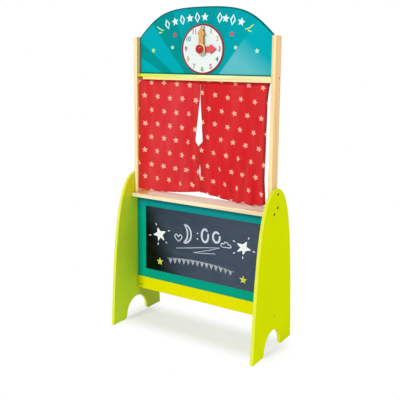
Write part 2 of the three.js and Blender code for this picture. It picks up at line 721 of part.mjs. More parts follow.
// Bolts, screws, barrel nuts and dowels, one set on each side
function addFasteners(word, side) {
  const turned = side > 0 ? Math.PI : 0;
  const place = (name, geometry, material, x, y, z) => {
    add(name, geometry, material, side * x, y, z).rotation.z = turned;
  };
  const headX = panelOuterX;
  postBoltHeights.forEach((z, i) =>
    place(`post_bolt_${word}_${i + 1}`, panelBolt(postBoltLength), materials.blackSteel, headX, boltLineY, z),
  );
  place("shelf_bolt_" + word, panelBolt(shelfBoltLength), materials.blackSteel, headX, shelfBoltY, shelfMiddleZ);
  place("rail_bolt_" + word, panelBolt(railBoltLength), materials.blackSteel, headX, boltLineY, railBoltZ);
  const screwLength = postWidth - screwHeadHeight + seatGap + screwInWood;
  const screw = fastener(
    screwHeadRadius, screwHeadHeight, screwShank, screwLength, screwSocketWidth, screwSocketDepth,
  );
  place("top_rail_screw_" + word, screw, materials.blackSteel, postOuterX, postScrewY, topRailMiddleZ);

  const barrel = cut(bar("y", barrelRadius, barrelLength), [
    bar("x", boltShank + boreGap, 2 * barrelRadius + cutOverrun),
  ]);
  place("barrel_nut_" + word, barrel, materials.steel, barrelX, boltLineY, railBoltZ);

  const shelfDowel = bar("x", dowelRadius, dowelInPanel + seatGap + dowelInShelf);
  const shelfDowelX = panelInnerX + (dowelInPanel - seatGap - dowelInShelf) / 2;
  place("shelf_dowel_" + word, shelfDowel, materials.pine, shelfDowelX, shelfDowelY, shelfMiddleZ);

  const boardDowelX = spanBetweenPanels / 2 - boardDowelInset;
  const boardDowelY = boardFrontY + boardThickness / 2;
  const lower = bar("z", dowelRadius, dowelInRail + seatGap + dowelInBoard);
  const lowerZ = railTopZ + (seatGap + dowelInBoard - dowelInRail) / 2;
  place("board_dowel_lower_" + word, lower, materials.pine, boardDowelX, boardDowelY, lowerZ);
  const upper = bar("z", dowelRadius, dowelInBoard + seatGap + dowelInShelfTop);
  const upperZ = shelfBottomZ + (dowelInShelfTop - seatGap - dowelInBoard) / 2;
  place("board_dowel_upper_" + word, upper, materials.pine, boardDowelX, boardDowelY, upperZ);
}

addFasteners("left", -1);
addFasteners("right", 1);

export default stand;
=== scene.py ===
import math
import random

import bmesh
import bpy
import numpy as np
from mathutils import Matrix, Vector


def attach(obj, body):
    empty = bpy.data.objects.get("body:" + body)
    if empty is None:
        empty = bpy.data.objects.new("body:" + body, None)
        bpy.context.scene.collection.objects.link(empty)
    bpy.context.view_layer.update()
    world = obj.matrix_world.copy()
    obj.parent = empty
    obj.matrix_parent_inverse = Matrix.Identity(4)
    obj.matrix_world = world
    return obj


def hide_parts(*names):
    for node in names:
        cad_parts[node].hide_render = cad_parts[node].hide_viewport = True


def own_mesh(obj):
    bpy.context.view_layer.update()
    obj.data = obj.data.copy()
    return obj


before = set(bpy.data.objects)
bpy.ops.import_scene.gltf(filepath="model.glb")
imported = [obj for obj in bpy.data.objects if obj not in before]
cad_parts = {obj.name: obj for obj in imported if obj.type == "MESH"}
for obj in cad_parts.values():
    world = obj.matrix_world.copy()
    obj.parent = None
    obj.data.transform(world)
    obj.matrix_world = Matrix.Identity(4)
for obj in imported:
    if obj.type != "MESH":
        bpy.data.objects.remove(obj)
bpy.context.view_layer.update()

mm = 0.001
print("frame loaded:", len(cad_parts), "nodes")


# Camera

camera = {
    "place": (1212.9, -1901.1, 1009.6),  # mm
    "turn": 31.861,  # degrees to the left of straight on
    "tilt": -9.19,
    "roll": 0.735,
    "lens": 56.13, "sensor": 36,  # mm
    "sight": 60,  # metres
    "shift": (-0.0216, -0.0912),
}


def addObject(name, data):
    thing = bpy.data.objects.new(name, data)
    bpy.context.scene.collection.objects.link(thing)
    return thing


def placeCamera(settings):
    data = bpy.data.cameras.new("photoCamera")
    data.lens = settings["lens"]
    data.sensor_width = settings["sensor"]
    data.shift_x, data.shift_y = settings["shift"]
    data.clip_end = settings["sight"]
    turn, tilt, roll = (Matrix.Rotation(math.radians(degrees), 4, axis) for degrees, axis in (
        (settings["turn"], "Z"), (90 + settings["tilt"], "X"), (settings["roll"], "Z")))
    holder = addObject("photoCamera", data)
    holder.matrix_world = Matrix.Translation(Vector(settings["place"]) * mm) @ turn @ tilt @ roll
    bpy.context.scene.camera = holder


placeCamera(camera)
print("camera placed")


# Small helpers for shader nodes, which find their tree through a socket that they are given

def ink(red, green, blue):  # sRGB 0-255 as a linear colour
    def linear(value):
        value /= 255
        return value / 12.92 if value <= 0.04045 else ((value + 0.055) / 1.055) ** 2.4
    return (linear(red), linear(green), linear(blue), 1)


def feed(socket, value):
    if isinstance(value, bpy.types.NodeSocket):
        socket.id_data.links.new(value, socket)
    else:
        socket.default_value = value


def feedAll(sockets, values):
    for name, value in values.items():
        feed(sockets[name], value)


def addNode(tree, kind, inputs=None, **settings):
    node = tree.nodes.new("ShaderNode" + kind)
    for name, value in settings.items():
        setattr(node, name, value)
    feedAll(node.inputs, inputs or {})
    return node


def calc(operation, *values, clamp=False):
    tree = next(value.id_data for value in values if isinstance(value, bpy.types.NodeSocket))
    return addNode(tree, "Math", dict(enumerate(values)), operation=operation, use_clamp=clamp).outputs[0]


def times(first, *others):
    for other in others:
        first = calc("MULTIPLY", first, other)
    return first


def plus(first, *others):
    for other in others:
        first = calc("ADD", first, other)
    return first


def minus(first, second):
    return calc("SUBTRACT", first, second)


def ratio(first, second):
    return calc("DIVIDE", first, second)


def flip(value):  # 0 becomes 1, and 1 becomes 0
    return calc("SUBTRACT", 1.0, value)


def lengthOf(x, y):
    return calc("SQRT", plus(times(x, x), times(y, y)))


def ease(value, low, high, start=0.0):  # start below low, 1 above high, smooth between
    return addNode(value.id_data, "MapRange", {
        "Value": value, "From Min": low, "From Max": high, "To Min": start,
    }, interpolation_type="SMOOTHSTEP").outputs[0]


def spread(value, low, high, least=0.0, most=1.0):  # a value from least to most becomes low to high
    return addNode(value.id_data, "MapRange", {
        "Value": value, "From Min": least, "From Max": most, "To Min": low, "To Max": high,
    }).outputs[0]


def mixInk(share, first, second):
    return addNode(share.id_data, "Mix", {0: share, 6: first, 7: second}, data_type="RGBA").outputs[2]


def stretch(vector, scale):
    return addNode(vector.id_data, "Mapping", {"Vector": vector, "Scale": scale}).outputs[0]


def noiseOf(vector, scale, detail=2.0, rough=0.5, bend=0.0):
    return addNode(vector.id_data, "TexNoise", {
        "Vector": vector, "Scale": scale, "Detail": detail, "Roughness": rough, "Distortion": bend,
    }).outputs["Fac"]


def axesOf(vector):
    return addNode(vector.id_data, "SeparateXYZ", {"Vector": vector}).outputs


def objectPlace(tree):
    return addNode(tree, "TexCoord").outputs["Object"]


def placeAxes(tree):
    return axesOf(objectPlace(tree))


def facingAxes(tree):  # the face's own direction, in the object's axes
    return axesOf(addNode(tree, "VectorTransform", {
        "Vector": addNode(tree, "NewGeometry").outputs["True Normal"],
    }, vector_type="NORMAL", convert_from="WORLD", convert_to="OBJECT").outputs[0])


def awayFrom(place, spot):  # how far across and up from a spot that is given in mm
    return minus(place[0], spot[0] * mm), minus(place[2], spot[1] * mm)


def newGroup(name, inputs, outputs):  # an input is given as its kind, or as a number to start from
    tree = bpy.data.node_groups.new(name, "ShaderNodeTree")
    for label, value in inputs.items():
        kind = value if isinstance(value, str) else "Float"
        socket = tree.interface.new_socket(label, in_out="INPUT", socket_type="NodeSocket" + kind)
        if kind == "Float":
            socket.default_value = value
    for label, kind in outputs.items():
        tree.interface.new_socket(label, in_out="OUTPUT", socket_type="NodeSocket" + kind)
    return tree, tree.nodes.new("NodeGroupInput").outputs, tree.nodes.new("NodeGroupOutput").inputs


def useGroup(tree, group, **inputs):
    node = tree.nodes.new("ShaderNodeGroup")
    node.node_tree = group
    feedAll(node.inputs, inputs)
    return node.outputs


def newMaterial(name, plain):  # plain values are the same all over the surface
    material = bpy.data.materials.new(name)
    material.use_nodes = True
    shader = material.node_tree.nodes["Principled BSDF"].inputs
    feedAll(shader, plain)
    return material, material.node_tree, shader


def bumpInto(shader, height, distance, normal=None):
    node = addNode(shader[0].id_data, "Bump", {"Height": height, "Distance": distance, "Strength": 1.0})
    if normal is not None:
        feed(node.inputs["Normal"], normal)
    feed(shader["Normal"], node.outputs[0])


# Effects that several materials share

def makeEdgeGroup():
    tree, given, out = newGroup("softEdge", {"Radius": 0.0015, "Amount": 1.0},
                                {"Mask": "Float", "Normal": "Vector"})
    rounded = addNode(tree, "Bevel", {"Radius": given["Radius"]}, samples=6).outputs[0]
    flat = addNode(tree, "NewGeometry").outputs["Normal"]
    facing = addNode(tree, "VectorMath", {0: rounded, 1: flat}, operation="DOT_PRODUCT").outputs["Value"]
    # A mask along the rounded edges with patchy wear; the paints colour it lighter on some, a painted
    # highlight, and darker on others, painted shade
    patchy = spread(noiseOf(objectPlace(tree), 35, 3), 0.55, 1.1)
    mask = times(ease(flip(facing), 0.01, 0.16), patchy)
    feedAll(out, {"Mask": calc("MULTIPLY", mask, given["Amount"], clamp=True), "Normal": rounded})
    return tree


def makePaintGroup():
    tree, given, out = newGroup(
        "paintCoat",
        {"Place": "Vector", "Colour": "Color", "Edge Colour": "Color", "Edge": 0.0, "Cloud": 0.05},
        {"Colour": "Color", "Roughness": "Float", "Height": "Float"},
    )
    place, cloud = given["Place"], given["Cloud"]
    streak = noiseOf(stretch(place, (1, 1, 0.08)), 160, 2)
    tone = plus(times(noiseOf(place, 6, 3), 0.7), times(streak, 0.3))
    gain = spread(tone, flip(cloud), plus(1.0, cloud), 0.25, 0.75)
    scaled = addNode(tree, "VectorMath", {0: given["Colour"], "Scale": gain}, operation="SCALE").outputs[0]
    feedAll(out, {
        "Colour": mixInk(given["Edge"], scaled, given["Edge Colour"]),
        "Roughness": spread(noiseOf(place, 45, 3), 0.34, 0.52),
        "Height": plus(times(noiseOf(place, 900, 2), 0.35), streak),
    })
    return tree


def makePineGroup():
    tree, given, out = newGroup(
        "pineGrain", {"Place": "Vector", "Pale": "Color", "Warm": "Color", "Deep": "Color"},
        {"Colour": "Color", "Roughness": "Float", "Height": "Float"},
    )
    lengthwise = stretch(given["Place"], (1, 1, 0.055))
    rings = addNode(tree, "TexWave", {
        "Vector": lengthwise, "Scale": 26, "Distortion": 5.5, "Detail": 2, "Detail Scale": 1.1,
    }, wave_type="BANDS", bands_direction="DIAGONAL", wave_profile="SAW").outputs["Fac"]
    late = ease(rings, 0.45, 1.0)  # the darker late wood of each ring
    fibres = noiseOf(stretch(given["Place"], (1, 1, 0.03)), 750, 3)
    soft = mixInk(ease(noiseOf(lengthwise, 18, 2), 0.35, 0.7), given["Pale"], given["Warm"])
    lined = mixInk(times(late, 0.55), soft, given["Deep"])
    feedAll(out, {
        "Colour": mixInk(times(ease(fibres, 0.52, 0.8), 0.22), lined, given["Deep"]),
        "Roughness": spread(fibres, 0.4, 0.62),
        "Height": plus(times(late, 0.5), fibres),
    })
    return tree


def makeStarGroup():  # rows of five-pointed stars, every other row half a step aside
    stray, fifth = 0.004, math.pi / 5  # metres off the even places, and a tip's half angle
    tree, given, out = newGroup(
        "printedStars", {"Print": "Vector", "Across": 0.057, "Down": 0.0524, "Tip": 0.01, "Notch": 0.005},
        {"Mask": "Float"},
    )
    flat = axesOf(given["Print"])
    down = ratio(flat[1], given["Down"])
    row = calc("ROUND", down)
    across = minus(ratio(flat[0], given["Across"]), times(calc("FLOORED_MODULO", row, 2.0), 0.5))
    column = calc("ROUND", across)
    cell = addNode(tree, "CombineXYZ", {"X": column, "Y": row}).outputs[0]
    chance = addNode(tree, "TexWhiteNoise", {"Vector": cell}, noise_dimensions="3D").outputs["Color"]
    strayX, strayY, turned = list(addNode(tree, "SeparateColor", {"Color": chance}).outputs)[:3]
    x = plus(times(minus(across, column), given["Across"]), times(minus(strayX, 0.5), stray))
    y = plus(times(minus(down, row), given["Down"]), times(minus(strayY, 0.5), stray))
    angle = plus(calc("ARCTAN2", y, x), times(turned, math.tau))
    reach, folded = lengthOf(x, y), calc("PINGPONG", angle, fifth)  # folded is the angle from the nearest tip
    along, beside = times(reach, calc("COSINE", folded)), times(reach, calc("SINE", folded))
    normalX = times(given["Notch"], math.sin(fifth))
    normalY = minus(given["Tip"], times(given["Notch"], math.cos(fifth)))
    here = plus(times(normalX, along), times(normalY, beside))
    inside = ratio(minus(times(normalX, given["Tip"]), here), lengthOf(normalX, normalY))  # metres
    feed(out["Mask"], ease(inside, -0.0002, 0.0004))
    return tree


def makeWeaveGroup():
    tree, given, out = newGroup("cottonWeave", {"Print": "Vector", "Thread": 0.0006},
                                {"Height": "Float", "Tone": "Float"})
    flat = axesOf(given["Print"])
    warp, weft = (calc("SINE", times(ratio(flat[axis], given["Thread"]), math.pi)) for axis in (0, 1))
    slub = noiseOf(stretch(given["Print"], (1, 0.06, 1)), 900, 2)
    feedAll(out, {"Height": plus(calc("ABSOLUTE", times(warp, weft)), times(slub, 0.6)), "Tone": slub})
    return tree


def makeStitchGroup():
    stitch, needle, sunk = 0.0042, (0.00025, 0.0006), 0.0022  # a stitch's length, half thread and half groove
    tree, given, out = newGroup("stitchLine", {"Across": 0.0, "Along": 0.0, "Line": 0.01},
                                {"Thread": "Float", "Height": "Float"})
    away = calc("ABSOLUTE", minus(given["Across"], given["Line"]))
    dash = calc("SINE", times(given["Along"], math.tau / stitch))
    stitched = times(flip(ease(away, *needle)), ease(dash, -0.45, 0.0))
    groove = flip(ease(away, 0.0, sunk))
    feedAll(out, {"Thread": stitched, "Height": minus(times(stitched, 0.5), groove)})
    return tree


softEdge = makeEdgeGroup()
paintCoat = makePaintGroup()
pineGrain = makePineGroup()
printedStars = makeStarGroup()
cottonWeave = makeWeaveGroup()
stitchLine = makeStitchGroup()
print("shared effects made")


# Materials

def paintMaterial(name, look):
    material, tree, shader = newMaterial(name, {
        "Specular IOR Level": look.get("shine", 0.05), "IOR": 1.3,
        "Coat Weight": look.get("gloss", 0.0), "Coat Roughness": 0.12,
    })
    # the edge colour is patchy wear and painted light: lighter on the lime, rail and knob paints, a painted
    # highlight, and darker on the teal, header, hand and bolt-cap paints, painted shade
    edge = useGroup(tree, softEdge, Radius=look.get("edge", 0.0014), Amount=look["edgeWearAndLight"])
    coat = useGroup(tree, paintCoat, **{
        "Place": objectPlace(tree), "Colour": look["colour"], "Edge Colour": look["edgeWearAndLightInk"],
        "Edge": edge["Mask"], "Cloud": look.get("cloud", 0.05),
    })
    feedAll(shader, {"Base Color": coat["Colour"], "Roughness": coat["Roughness"]})
    bumpInto(shader, coat["Height"], 0.00006, edge["Normal"])
    return material, tree, coat


def setPaint(coat, colour):
    feed(coat["Colour"].node.inputs["Colour"], colour)


def limeMaterial(look):  # the faces between the panels get a darker, greener painted shade, deeper at the rear feet, with a warm painted reflection high up, and the narrow edge faces get a paler painted highlight
    material, tree, coat = paintMaterial("limePaint", look)
    place = placeAxes(tree)
    outward = times(calc("SIGN", place[0]), facingAxes(tree)[0])
    inward = ease(outward, -0.5, -0.9)
    # painted shade on the inner faces of the rear feet
    foot = times(ease(place[1], *look["footBack"]), ease(place[2], *look["footDown"]), inward)
    # a warm painted reflection high on the inner faces
    crownReflection = times(ease(place[2], *look["crownUp"]), ease(place[2], *look["crownDown"]), inward)
    broad = mixInk(ease(outward, -0.9, -0.5), look["inner"], look["colour"])
    warmed = mixInk(times(crownReflection, look["crownReflectionShare"]), broad, look["crownReflection"])
    # the narrow edge faces are painted paler, a painted highlight
    edgeFaceHighlight = ease(calc("ABSOLUTE", outward), 0.75, 0.4)
    setPaint(coat, mixInk(edgeFaceHighlight, mixInk(foot, warmed, look["foot"]), look["edgeFaceHighlight"]))
    return material


limePaint = limeMaterial({  # the pairs say where a tint starts and where it is full, in metres
    "colour": ink(218, 231, 2), "inner": ink(198, 228, 52), "edgeFaceHighlight": ink(219, 224, 78),
    "foot": ink(180, 196, 64), "footBack": (-0.01, 0.03), "footDown": (0.17, 0.13),
    "crownReflection": ink(228, 230, 0), "crownReflectionShare": 0.55, "crownUp": (0.476, 0.512), "crownDown": (0.574, 0.55),
    "edgeWearAndLightInk": ink(236, 242, 96), "edgeWearAndLight": 0.7, "cloud": 0.03, "shine": 0.002,
})
limeRail = paintMaterial("limeRail", {
    "colour": ink(219, 216, 2), "edgeWearAndLightInk": ink(234, 236, 96), "edgeWearAndLight": 0.6, "cloud": 0.03, "shine": 0.01,
})[0]
limeCap = paintMaterial("limeCap", {  # bolt heads painted over
    "colour": ink(200, 212, 10), "edgeWearAndLightInk": ink(170, 180, 20), "edgeWearAndLight": 0.9, "edge": 0.0008, "shine": 0.002,
})[0]


def tealMaterial(look):  # painted shade: bluer and darker toward the top, under the shelf; painted light: brighter down the left side, where the left panel shades it
    material, tree, coat = paintMaterial("tealPaint", look)
    place = placeAxes(tree)
    along = mixInk(ease(place[0], *look["leftLightRange"]), look["colour"], look["left"])
    setPaint(coat, mixInk(ease(place[2], *look["paintedLightRange"]), along, look["upper"]))
    return material


tealPaint = tealMaterial({
    "colour": ink(2, 152, 125), "left": ink(0, 162, 138), "leftLightRange": (-0.25, -0.262),
    "upper": ink(15, 138, 144), "paintedLightRange": (0.42, 0.475),
    "edgeWearAndLightInk": ink(10, 122, 112), "edgeWearAndLight": 0.5, "cloud": 0.05,
})


def handMaterial(name, look):  # its side faces are painted dark, a painted shade for the shadow beside the hand
    material, tree, coat = paintMaterial(name, look)
    level = ease(calc("ABSOLUTE", facingAxes(tree)[1]), 0.4, 0.75)
    setPaint(coat, mixInk(level, look["side"], look["colour"]))
    return material


knobPaint = paintMaterial("knobPaint", {
    "colour": ink(180, 34, 38), "edgeWearAndLightInk": ink(214, 70, 66), "edgeWearAndLight": 0.4, "gloss": 0.5, "edge": 0.002,
})[0]
hourPaint = handMaterial("hourPaint", {
    "colour": ink(222, 94, 94), "side": ink(90, 12, 18), "edgeWearAndLightInk": ink(180, 40, 44), "edgeWearAndLight": 0.5,
})
minutePaint = handMaterial("minutePaint", {
    "colour": ink(217, 164, 94), "side": ink(50, 36, 22), "edgeWearAndLightInk": ink(196, 130, 60), "edgeWearAndLight": 0.3,
})


def headerPrint(look):
    material, tree, coat = paintMaterial("headerPrint", look)
    place = placeAxes(tree)
    x, z = awayFrom(place, look["middle"])
    angle = times(calc("ARCTAN2", z, x), 180 / math.pi)
    blur, printed = look["blur"], look["dark"]
    for start, end, strength in look["rays"]:
        ray = times(ease(angle, start - blur, start + blur), flip(ease(angle, end - blur, end + blur)))
        printed = mixInk(times(ray, strength), printed, look["bright"])
    # a painted reflection: a pale glare mixed over the print beside the clock
    strongest, fadeX, fadeZ = look["glare"]
    across, up = awayFrom(place, look["glareFrom"])
    fade = plus(times(across, fadeX), times(up, fadeZ))
    glareReach = calc("MINIMUM", calc("SUBTRACT", strongest, fade, clamp=True), strongest)
    streaks = noiseOf(stretch(objectPlace(tree), (0.5, 1, 3)), 22, 3)
    glare = times(glareReach, ease(angle, *look["glareEnds"]), spread(streaks, 0.5, 0.9))
    pale = mixInk(glare, printed, look["pale"])
    # darker along the arch, and painted shade in the grooves
    lined = mixInk(headerOutline(place, look), pale, look["outline"])
    front = calc("LESS_THAN", place[1], look["front"] * mm)
    setPaint(coat, mixInk(front, look["colour"], lined))
    return material


def curveOf(value, shares, heights):  # a drawn curve through points, both from 0 to 1
    node = addNode(value.id_data, "FloatCurve", {"Value": value})
    points = node.mapping.curves[0].points
    points[0].location = (shares[0], heights[0])
    points[1].location = (shares[-1], heights[-1])
    for share, height in zip(shares[1:-1], heights[1:-1]):
        points.new(share, height)
    node.mapping.update()
    return node.outputs[0]


def headerOutline(place, look):  # 1 beside the board's arch, a darker line, and in its grooves by the posts and the rail, painted shade
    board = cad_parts["header_board"]
    spots = [board.matrix_world @ corner.co for corner in board.data.vertices]
    arched = [spot for spot in spots if spot.z > look["archFoot"] * mm]
    half = max(spot.x for spot in arched)
    arch = sorted({(round(abs(spot.x) / half, 5), round(spot.z, 6)) for spot in arched})
    shares = np.linspace(0, 1, look["archPoints"])
    tops = np.interp(shares, *zip(*arch))
    foot, rise = tops.min(), tops.max() - tops.min()
    slopes = np.gradient(tops, shares * half)
    aside = calc("ABSOLUTE", place[0])
    across = ratio(aside, half)
    top = calc("MULTIPLY_ADD", curveOf(across, shares, (tops - foot) / rise), rise, foot)
    fromArch = times(minus(top, place[2]), curveOf(across, shares, 1 / np.sqrt(1 + slopes ** 2)))
    fromRail = minus(place[2], look["grooveTop"] * mm)
    nearest = calc("MINIMUM", fromArch, calc("MINIMUM", minus(half, aside), fromRail))
    low, high = look["edgeShadeReach"]
    return flip(ease(nearest, low * mm, high * mm))


header = {
    "colour": ink(6, 150, 146), "edgeWearAndLightInk": ink(0, 104, 100), "edgeWearAndLight": 0.75, "edge": 0.0028, "cloud": 0.03,
    "middle": (-5, 880), "front": 4.0, "archFoot": 1100, "grooveTop": 965.8, "edgeShadeReach": (2.0, 6.5),  # mm
    "archPoints": 15, "blur": 0.35,  # degrees
    "rays": ((-30, 51, 1.0), (51, 67, 0.6), (67, 79, 0.4), (79, 101, 0.2), (101, 112, 0.55),
             (129, 143.5, 0.9), (152, 180, 1.0)),  # degrees and strength
    "glare": (0.66, 5.3, 6.7), "glareFrom": (143, 1020),  # the painted glare: strongest, fading per metre across and up
    "glareEnds": (52.0, 50.0),  # degrees
    "dark": ink(0, 142, 143), "bright": ink(0, 168, 180), "pale": ink(134, 202, 208),
    "outline": ink(0, 90, 94),
}
headerInk = headerPrint(header)


def slateMaterial(look):
    material, tree, shader = newMaterial("slatePaint", {"Specular IOR Level": 0.02, "IOR": 1.3})
    place, axes = objectPlace(tree), placeAxes(tree)
    deep = ease(plus(axes[0], times(axes[2], look["lean"])), *look["reflectionDarkRange"])
    swirl = noiseOf(stretch(place, (1, 1, 2.2)), 7, 4, 0.6, 1.4)
    wiped = noiseOf(stretch(place, (0.35, 1, 1.6)), 60, 3)
    across = ease(axes[0], *look["paintedLightRange"])
    base = mixInk(deep, look["dark"], mixInk(across, look["mid"], look["colour"]))
    dust = times(ease(swirl, 0.42, 0.8), spread(deep, 0.25, 1.0), spread(wiped, 0.02, 0.13))
    feed(shader["Base Color"], mixInk(dust, base, look["dust"]))
    feed(shader["Roughness"], spread(swirl, 0.42, 0.66))
    bumpInto(shader, noiseOf(place, 1400, 2), 0.00005)
    return material


slatePaint = slateMaterial({  # painted reflection: the board is darkest in its lower left corner and darker toward the left, where it mirrors the dark side panel
    "colour": ink(66, 76, 93), "mid": ink(55, 67, 80), "dark": ink(8, 15, 0), "dust": ink(150, 160, 172),
    "lean": 0.38, "reflectionDarkRange": (-0.122, 0.016), "paintedLightRange": (-0.16, 0.16),  # metres
})


def pineMaterial(name, look):
    material, tree, shader = newMaterial(name, {
        "Specular IOR Level": 0.15, "IOR": 1.4,
        "Coat Weight": look.get("varnish", 0.0), "Coat Roughness": 0.14,
    })
    laid = addNode(tree, "Mapping", {
        "Vector": objectPlace(tree), "Rotation": look["turn"], "Location": look["start"],
    }).outputs[0]
    grain = useGroup(tree, pineGrain, Place=laid, Pale=look["pale"], Warm=look["warm"], Deep=look["deep"])
    edge = useGroup(tree, softEdge, Radius=0.0014, Amount=0.4)
    # the edges are painted pale, a painted highlight
    colour = mixInk(edge["Mask"], grain["Colour"], look["pale"])
    place, facing = placeAxes(tree), facingAxes(tree)
    upward = ease(facing[2], 0.5, 0.9)
    for tint, share, axis, none, full, onTop in look.get("tints", ()):  # grows from none to full, mm
        reach = times(ease(place[axis], none * mm, full * mm), share)
        colour = mixInk(times(reach, upward) if onTop else reach, colour, tint)
    if "side" in look:  # painted shade: the faces that face along x are darker
        turned = ease(calc("ABSOLUTE", facing[0]), 0.4, 0.8)
        colour = mixInk(times(turned, look["sideShadeShare"]), colour, look["side"])
    feedAll(shader, {"Base Color": colour, "Roughness": grain["Roughness"]})
    bumpInto(shader, grain["Height"], 0.00009, edge["Normal"])
    return material


pineInks = {"pale": ink(249, 232, 184), "warm": ink(244, 221, 166), "deep": ink(226, 187, 130)}
levelTurn = {"turn": (0, math.pi / 2, 0)}
pineUpright = pineMaterial("pineUpright", {
    **pineInks, "turn": (0, 0, 0), "start": (0.21, 0.4, 0.1), "side": ink(238, 186, 116), "sideShadeShare": 0.66,
})
pineLevel = pineMaterial("pineLevel", {**pineInks, **levelTurn, "start": (0.13, 0.27, 0.3)})
pineShelf = pineMaterial("pineShelf", {
    **levelTurn, "start": (0.13, 0.27, 0.3), "varnish": 0.6,
    "pale": ink(246, 233, 200), "warm": ink(238, 220, 182), "deep": ink(222, 190, 146),
    "tints": (
        # painted light on the shelf: a green reflection at the left end, a pink reflection of the curtain
        # toward the back of the top, painted shade on the top near the right panel, and an orange reflection
        # of the curtain on the top at the left end
        (ink(204, 220, 168), 0.6, 0, -225, -282, False), (ink(244, 164, 142), 0.5, 1, -34, -2, True),
        (ink(206, 158, 110), 0.6, 0, 190, 270, True), (ink(240, 140, 76), 0.78, 0, -215, -262, True),
    ),
})
pineRail = pineMaterial("pineRail", {
    **levelTurn, "start": (0.5, 0.27, 0.3), "pale": ink(238, 243, 186), "warm": ink(236, 236, 168),
    "deep": ink(222, 212, 136), "tints": (
        # lime-green toward the left end; the orange at the very left end is painted shade
        (ink(198, 230, 44), 0.9, 0, 120, -280, False), (ink(222, 176, 8), 0.8, 0, -252, -272, False),
    ),
})
pineLath = pineMaterial("pineLath", {
    **pineInks, **levelTurn, "start": (0.33, 0.27, 0.3),
    "tints": ((ink(250, 226, 112), 0.75, 0, 140, -262, False),),
})
pineRod = pineMaterial("pineRod", {
    **levelTurn, "start": (0.3, 0.1, 0.2), "pale": ink(226, 158, 84), "warm": ink(214, 140, 66),
    "deep": ink(180, 104, 44),
})


def dialMaterial(look):
    material, tree, shader = newMaterial("dialPrint", {"Specular IOR Level": 0.2})
    place, axes = objectPlace(tree), placeAxes(tree)
    rim, blur = look["rim"] * mm, look["blur"] * mm  # the ring of colour starts here
    ring = ease(lengthOf(*awayFrom(axes, look["middle"])), rim - blur, rim + blur)
    back = calc("GREATER_THAN", axes[1], look["back"] * mm)
    white = mixInk(spread(noiseOf(place, 30, 3), 0.0, 0.06), look["white"], look["clouded"])
    feed(shader["Base Color"], mixInk(back, mixInk(ring, white, look["ring"]), look["bare"]))
    feed(shader["Roughness"], spread(noiseOf(place, 60, 2), 0.25, 0.4))
    edge = useGroup(tree, softEdge, Radius=0.0012, Amount=0.0)
    bumpInto(shader, noiseOf(place, 1100, 2), 0.00003, edge["Normal"])
    return material


dial = {
    "middle": (0, 1056.5), "rim": 82.4, "blur": 0.2, "back": 1.5,  # mm
    "white": ink(228, 236, 233), "clouded": ink(200, 205, 200), "ring": ink(140, 44, 54),
    "bare": ink(236, 208, 158),
}
dialPrint = dialMaterial(dial)


def steelMaterial(name, look):
    material, tree, shader = newMaterial(name, {"Metallic": 1.0})
    flake = noiseOf(objectPlace(tree), look["flake"], 3)
    feed(shader["Base Color"], mixInk(flake, look["colour"], look["worn"]))
    feed(shader["Roughness"], spread(flake, *look["roughness"]))
    edge = useGroup(tree, softEdge, Radius=0.0005, Amount=0.0)
    bumpInto(shader, flake, 0.00003, edge["Normal"])
    return material


zincSteel = steelMaterial("zincSteel", {
    "colour": ink(122, 125, 130), "worn": ink(166, 168, 170), "flake": 700, "roughness": (0.25, 0.45),
})
blackSteel = steelMaterial("blackSteel", {
    "colour": ink(34, 28, 22), "worn": ink(62, 52, 42), "flake": 500, "roughness": (0.35, 0.6),
})


def inkMaterial(name, colour):  # a spot of printed colour
    material, tree, shader = newMaterial(name, {"Roughness": 0.45})
    patch = noiseOf(objectPlace(tree), 260, 3)
    darker = tuple(0.82 * value for value in colour[:3]) + (1,)
    feed(shader["Base Color"], mixInk(ease(patch, 0.45, 0.8), colour, darker))
    return material


def chalkMaterial(name, colour, cover):
    slate, blur = ink(84, 94, 106), 0.08  # shows between the grains of chalk
    material, tree, shader = newMaterial(name, {"Roughness": 0.95})
    place = objectPlace(tree)
    tooth = noiseOf(place, 620, 3, 0.7)
    solid = plus(tooth, times(minus(noiseOf(place, 70, 2), 0.5), 0.3))
    feed(shader["Base Color"], mixInk(ease(solid, cover - blur, cover + blur), slate, colour))
    bumpInto(shader, tooth, 0.0002)
    return material


inks = {
    "white": inkMaterial("whiteInk", ink(222, 246, 246)),
    "lime": inkMaterial("limeInk", ink(186, 228, 104)),
    "mint": inkMaterial("mintInk", ink(196, 234, 196)),
    "red": inkMaterial("redInk", ink(196, 62, 72)),
}
chalkWhite = chalkMaterial("chalkWhite", ink(240, 243, 245), 0.36)
chalkPale = chalkMaterial("chalkPale", ink(203, 211, 224), 0.36)
chalkGrey = chalkMaterial("chalkGrey", ink(170, 176, 184), 0.42)
chalkLime = chalkMaterial("chalkLime", ink(206, 212, 62), 0.38)


def flatPlace(tree, name):
    return addNode(tree, "UVMap", uv_map=name).outputs[0]


